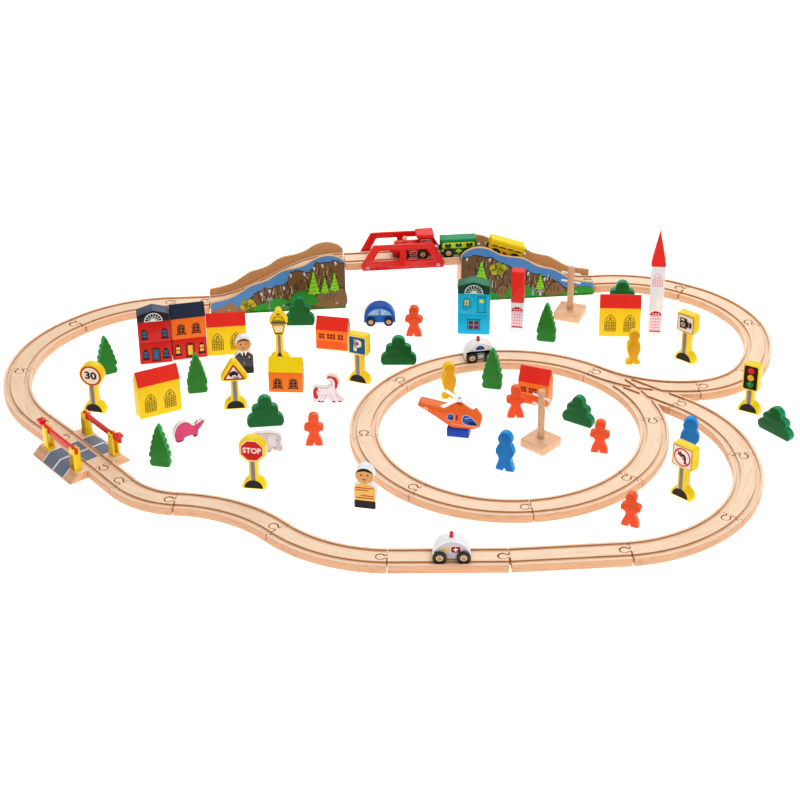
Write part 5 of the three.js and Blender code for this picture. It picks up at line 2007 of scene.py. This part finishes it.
def animals():
    hippo = spline([(-20, 2), (-11, 1.4), (-8, 6), (4, 6.5), (6, 2), (12, 3), (13, 10), (17, 14),
                    (23, 21), (22, 24), (14, 22), (8, 20), (4, 22), (-2, 28), (-10, 30), (-18, 26),
                    (-22.5, 17), (-22, 8)], 3)
    pink, deep, dark = (214, 74, 122), (170, 44, 92), (44, 26, 34)
    board_animal("hippo", hippo, -440, -5, 33, [(hippo, deep, 1), (inset(hippo, 0.7), pink, 2),
                                                (rect(-19, -15.4, 1.8, 3.4), dark, 3),
                                                (rect(-13.8, -10.4, 1.8, 3.4), dark, 3),
                                                (rect(6.6, 11.2, 2.8, 4.4), dark, 3),
                                                (line(9, 21, 12, 27, 1.4), deep, 3),
                                                (circle(15, 18.6, 0.8, 10), dark, 3),
                                                (line(8, 8, 13, 17, 0.7), deep, 3),
                                                (line(-16, 8, -13.4, 14, 0.6), deep, 3)],
                 "paint_pink")
    horse = spline([(-19, 0.5), (-14, 5), (-10, 0.5), (-7, 5), (0, 8), (7, 1), (12, 0.5), (15, 3),
                    (20, 0.8), (21, 4), (13, 13), (12, 24), (16, 34), (13, 42), (6, 45), (0, 42),
                    (3, 38), (5, 30), (0, 25), (-10, 26), (-16, 26), (-20, 22), (-20, 10)], 3)
    red, white, shade, hoof = (210, 40, 36), (244, 232, 236), (196, 176, 186), (30, 24, 26)
    mane = spline([(10, 42), (13.4, 39), (15, 32), (12.6, 23), (10.4, 25), (10.8, 32), (8.2, 38),
                   (4, 41), (0.8, 38.4), (-0.4, 41.4), (3.4, 43.6)], 3)
    tail = spline([(-13, 24.6), (-17.8, 24.4), (-20, 18), (-19.4, 9), (-16, 6.6), (-13.4, 10),
                   (-15.6, 17)], 3)
    legs = [line(a, za, b, zb, 0.6) for a, za, b,
            zb in ((-8, 12, -12, 3), (-2, 12, -5, 4), (4, 13, 9, 3), (11, 14, 17, 3),
                   (-8, 12, 4, 13), (6, 26, 7, 36), (-12, 23, 2, 24), (-13, 21, -11, 12))]
    board_animal("unicorn", horse, -252, 88, 0, [
        (horse, shade, 1), (inset(horse, 0.6), white, 2), (mane, red, 3), (tail, red, 3),
        *[(points, shade, 3) for points in legs],
        *[(tile(a - 2, a + 2, 1, 2.8, 0.5, 2), hoof, 4) for a in (-12.4, -7, 8.4, 17)],
        (circle(5.4, 40, 0.6, 8), hoof, 4)], "paint_white")
    elephant = spline([(-20, 1), (-13, 1), (-11, 6), (-3, 7), (-2, 1), (5, 1), (7, 7), (13, 5),
                       (19, 3), (21, 8), (18, 14), (20, 22), (16, 29), (6, 31), (-6, 30), (-16, 28),
                       (-22, 20), (-22, 9)], 3)
    grey, line_grey = (206, 196, 200), (150, 138, 146)
    board_animal("elephant", elephant, -332, -42, -4,
                 [(elephant, line_grey, 1), (inset(elephant, 0.6), grey, 2),
                  (spline([(4, 12), (10, 10), (14, 16), (12, 25), (5, 26), (2, 19)], 3),
                   (222, 212, 216), 3), (circle(15.2, 20, 0.8, 10), (60, 50, 56), 4),
                  (circle(11, 6.4, 2.4, 14), (226, 130, 150), 3),
                  (circle(11, 6.4, 1.4, 12), grey, 4), (line(-4, 18, -2, 12, 0.6), line_grey, 3),
                  *[(line(a, 1.6, a, 4, 0.6), line_grey, 3) for a in (-17, -15, 0.6, 2.6)]],
                 "paint_grey")


def pole(name, x, y, yaw, top):
    """A square foot, a round post and two cross-arms."""
    shape = Shape()
    base, post = wood((236, 190, 150)), wood((222, 178, 142))
    shape.box(-20, 20, -20, 20, 0.08, 13, base, 0.7)
    profile = [(0, 12), (4.9, 12), (4.9, top - 0.8), (4.4, top), (0, top)]
    shape.lathe(profile, post, "Z", None, 28)
    tip = paint((250, 244, 238), 0.42, 0.05)
    for z in (top - 11, top - 25):
        at = move(0, 0, z)
        shape.lathe([(0, -15.2), (1.2, -15.2), (1.5, -14.8), (1.5, 14.8), (1.2, 15.2), (0, 15.2)],
                    tip, "X", at, 16)
    shape.piece(name, "root", "bare_wood", spot(x, y, yaw))


red_house()
orange_house()
yellow_house("yellow_house_1", -404, 234, 6, 58, 48, 65)
yellow_house("yellow_house_2", -486, 64, 26, 62, 51, 70)
yellow_house("yellow_house_3", 180, 276, -4, 61, 48, 65)
yellow_roofed_house()
brick_house("brick_house_1", -250, 245, -12, 48, 33, 50)
brick_house("brick_house_2", 38, 79, -23, 45, 35, 55)
cyan_house()
towers()
speed_sign()
skid_sign()
lantern()
parking_sign()
stop_sign()
camera_sign()
traffic_light()
turn_sign()
greenery()
meeples()
officer()
firefighter()
animals()
pole("wire_pole_1", 111, 343, -22, 84)
pole("wire_pole_2", 42, -31, -42, 88)


# ---- stage ----------------------------------------------------------------------------
# name, place and size in metres, power in watts
LIGHTS = (
    ("key", (0.9, -0.6, 2.2), 1.8, 14.0),
    ("fill", (-1.4, -1.6, 1.6), 2.2, 3.0),
    ("back", (0.3, 2.0, 1.8), 2.0, 22.0),
)
SKY_STRENGTH = 0.46
# the floor's half side, and how far under the pieces it lies, in metres
FLOOR_HALF, FLOOR_BELOW = 6.0, -0.0006


def stage():
    n = Nodes("floor")
    n.shader.inputs["Roughness"].default_value = 0.9
    soft = n.noise(3, n.coordinates((1.0, 1.0, 1.0)), 2.0)
    n.link(n.mix(soft, (0.92, 0.92, 0.92, 1), (0.95, 0.95, 0.95, 1)), n.shader.inputs["Base Color"])
    n.shader.inputs["Emission Color"].default_value = (1, 1, 1, 1)
    n.shader.inputs["Emission Strength"].default_value = 0.6
    mesh = bpy.data.meshes.new("floor")
    square = ((-1, -1), (1, -1), (1, 1), (-1, 1))
    corners = [(x * FLOOR_HALF, y * FLOOR_HALF, FLOOR_BELOW) for x, y in square]
    mesh.from_pydata(corners, [], [(0, 1, 2, 3)])
    mesh.materials.append(n.material)
    linked("floor", mesh)

    world = bpy.data.worlds.new("studio")
    world.use_nodes = True
    background = world.node_tree.nodes["Background"]
    background.inputs["Color"].default_value = (1.0, 1.0, 1.0, 1)
    background.inputs["Strength"].default_value = SKY_STRENGTH
    bpy.context.scene.world = world
    for name, place, size, watts in LIGHTS:
        light = bpy.data.lights.new(name, "AREA")
        light.energy = watts
        light.size = size
        lamp = linked(name, light)
        lamp.location = place
        lamp.rotation_euler = (-Vector(place)).to_track_quat("-Z", "Y").to_euler()
    bpy.context.scene.view_settings.view_transform = "Standard"
    bpy.context.scene.view_settings.look = "Medium High Contrast"


stage()
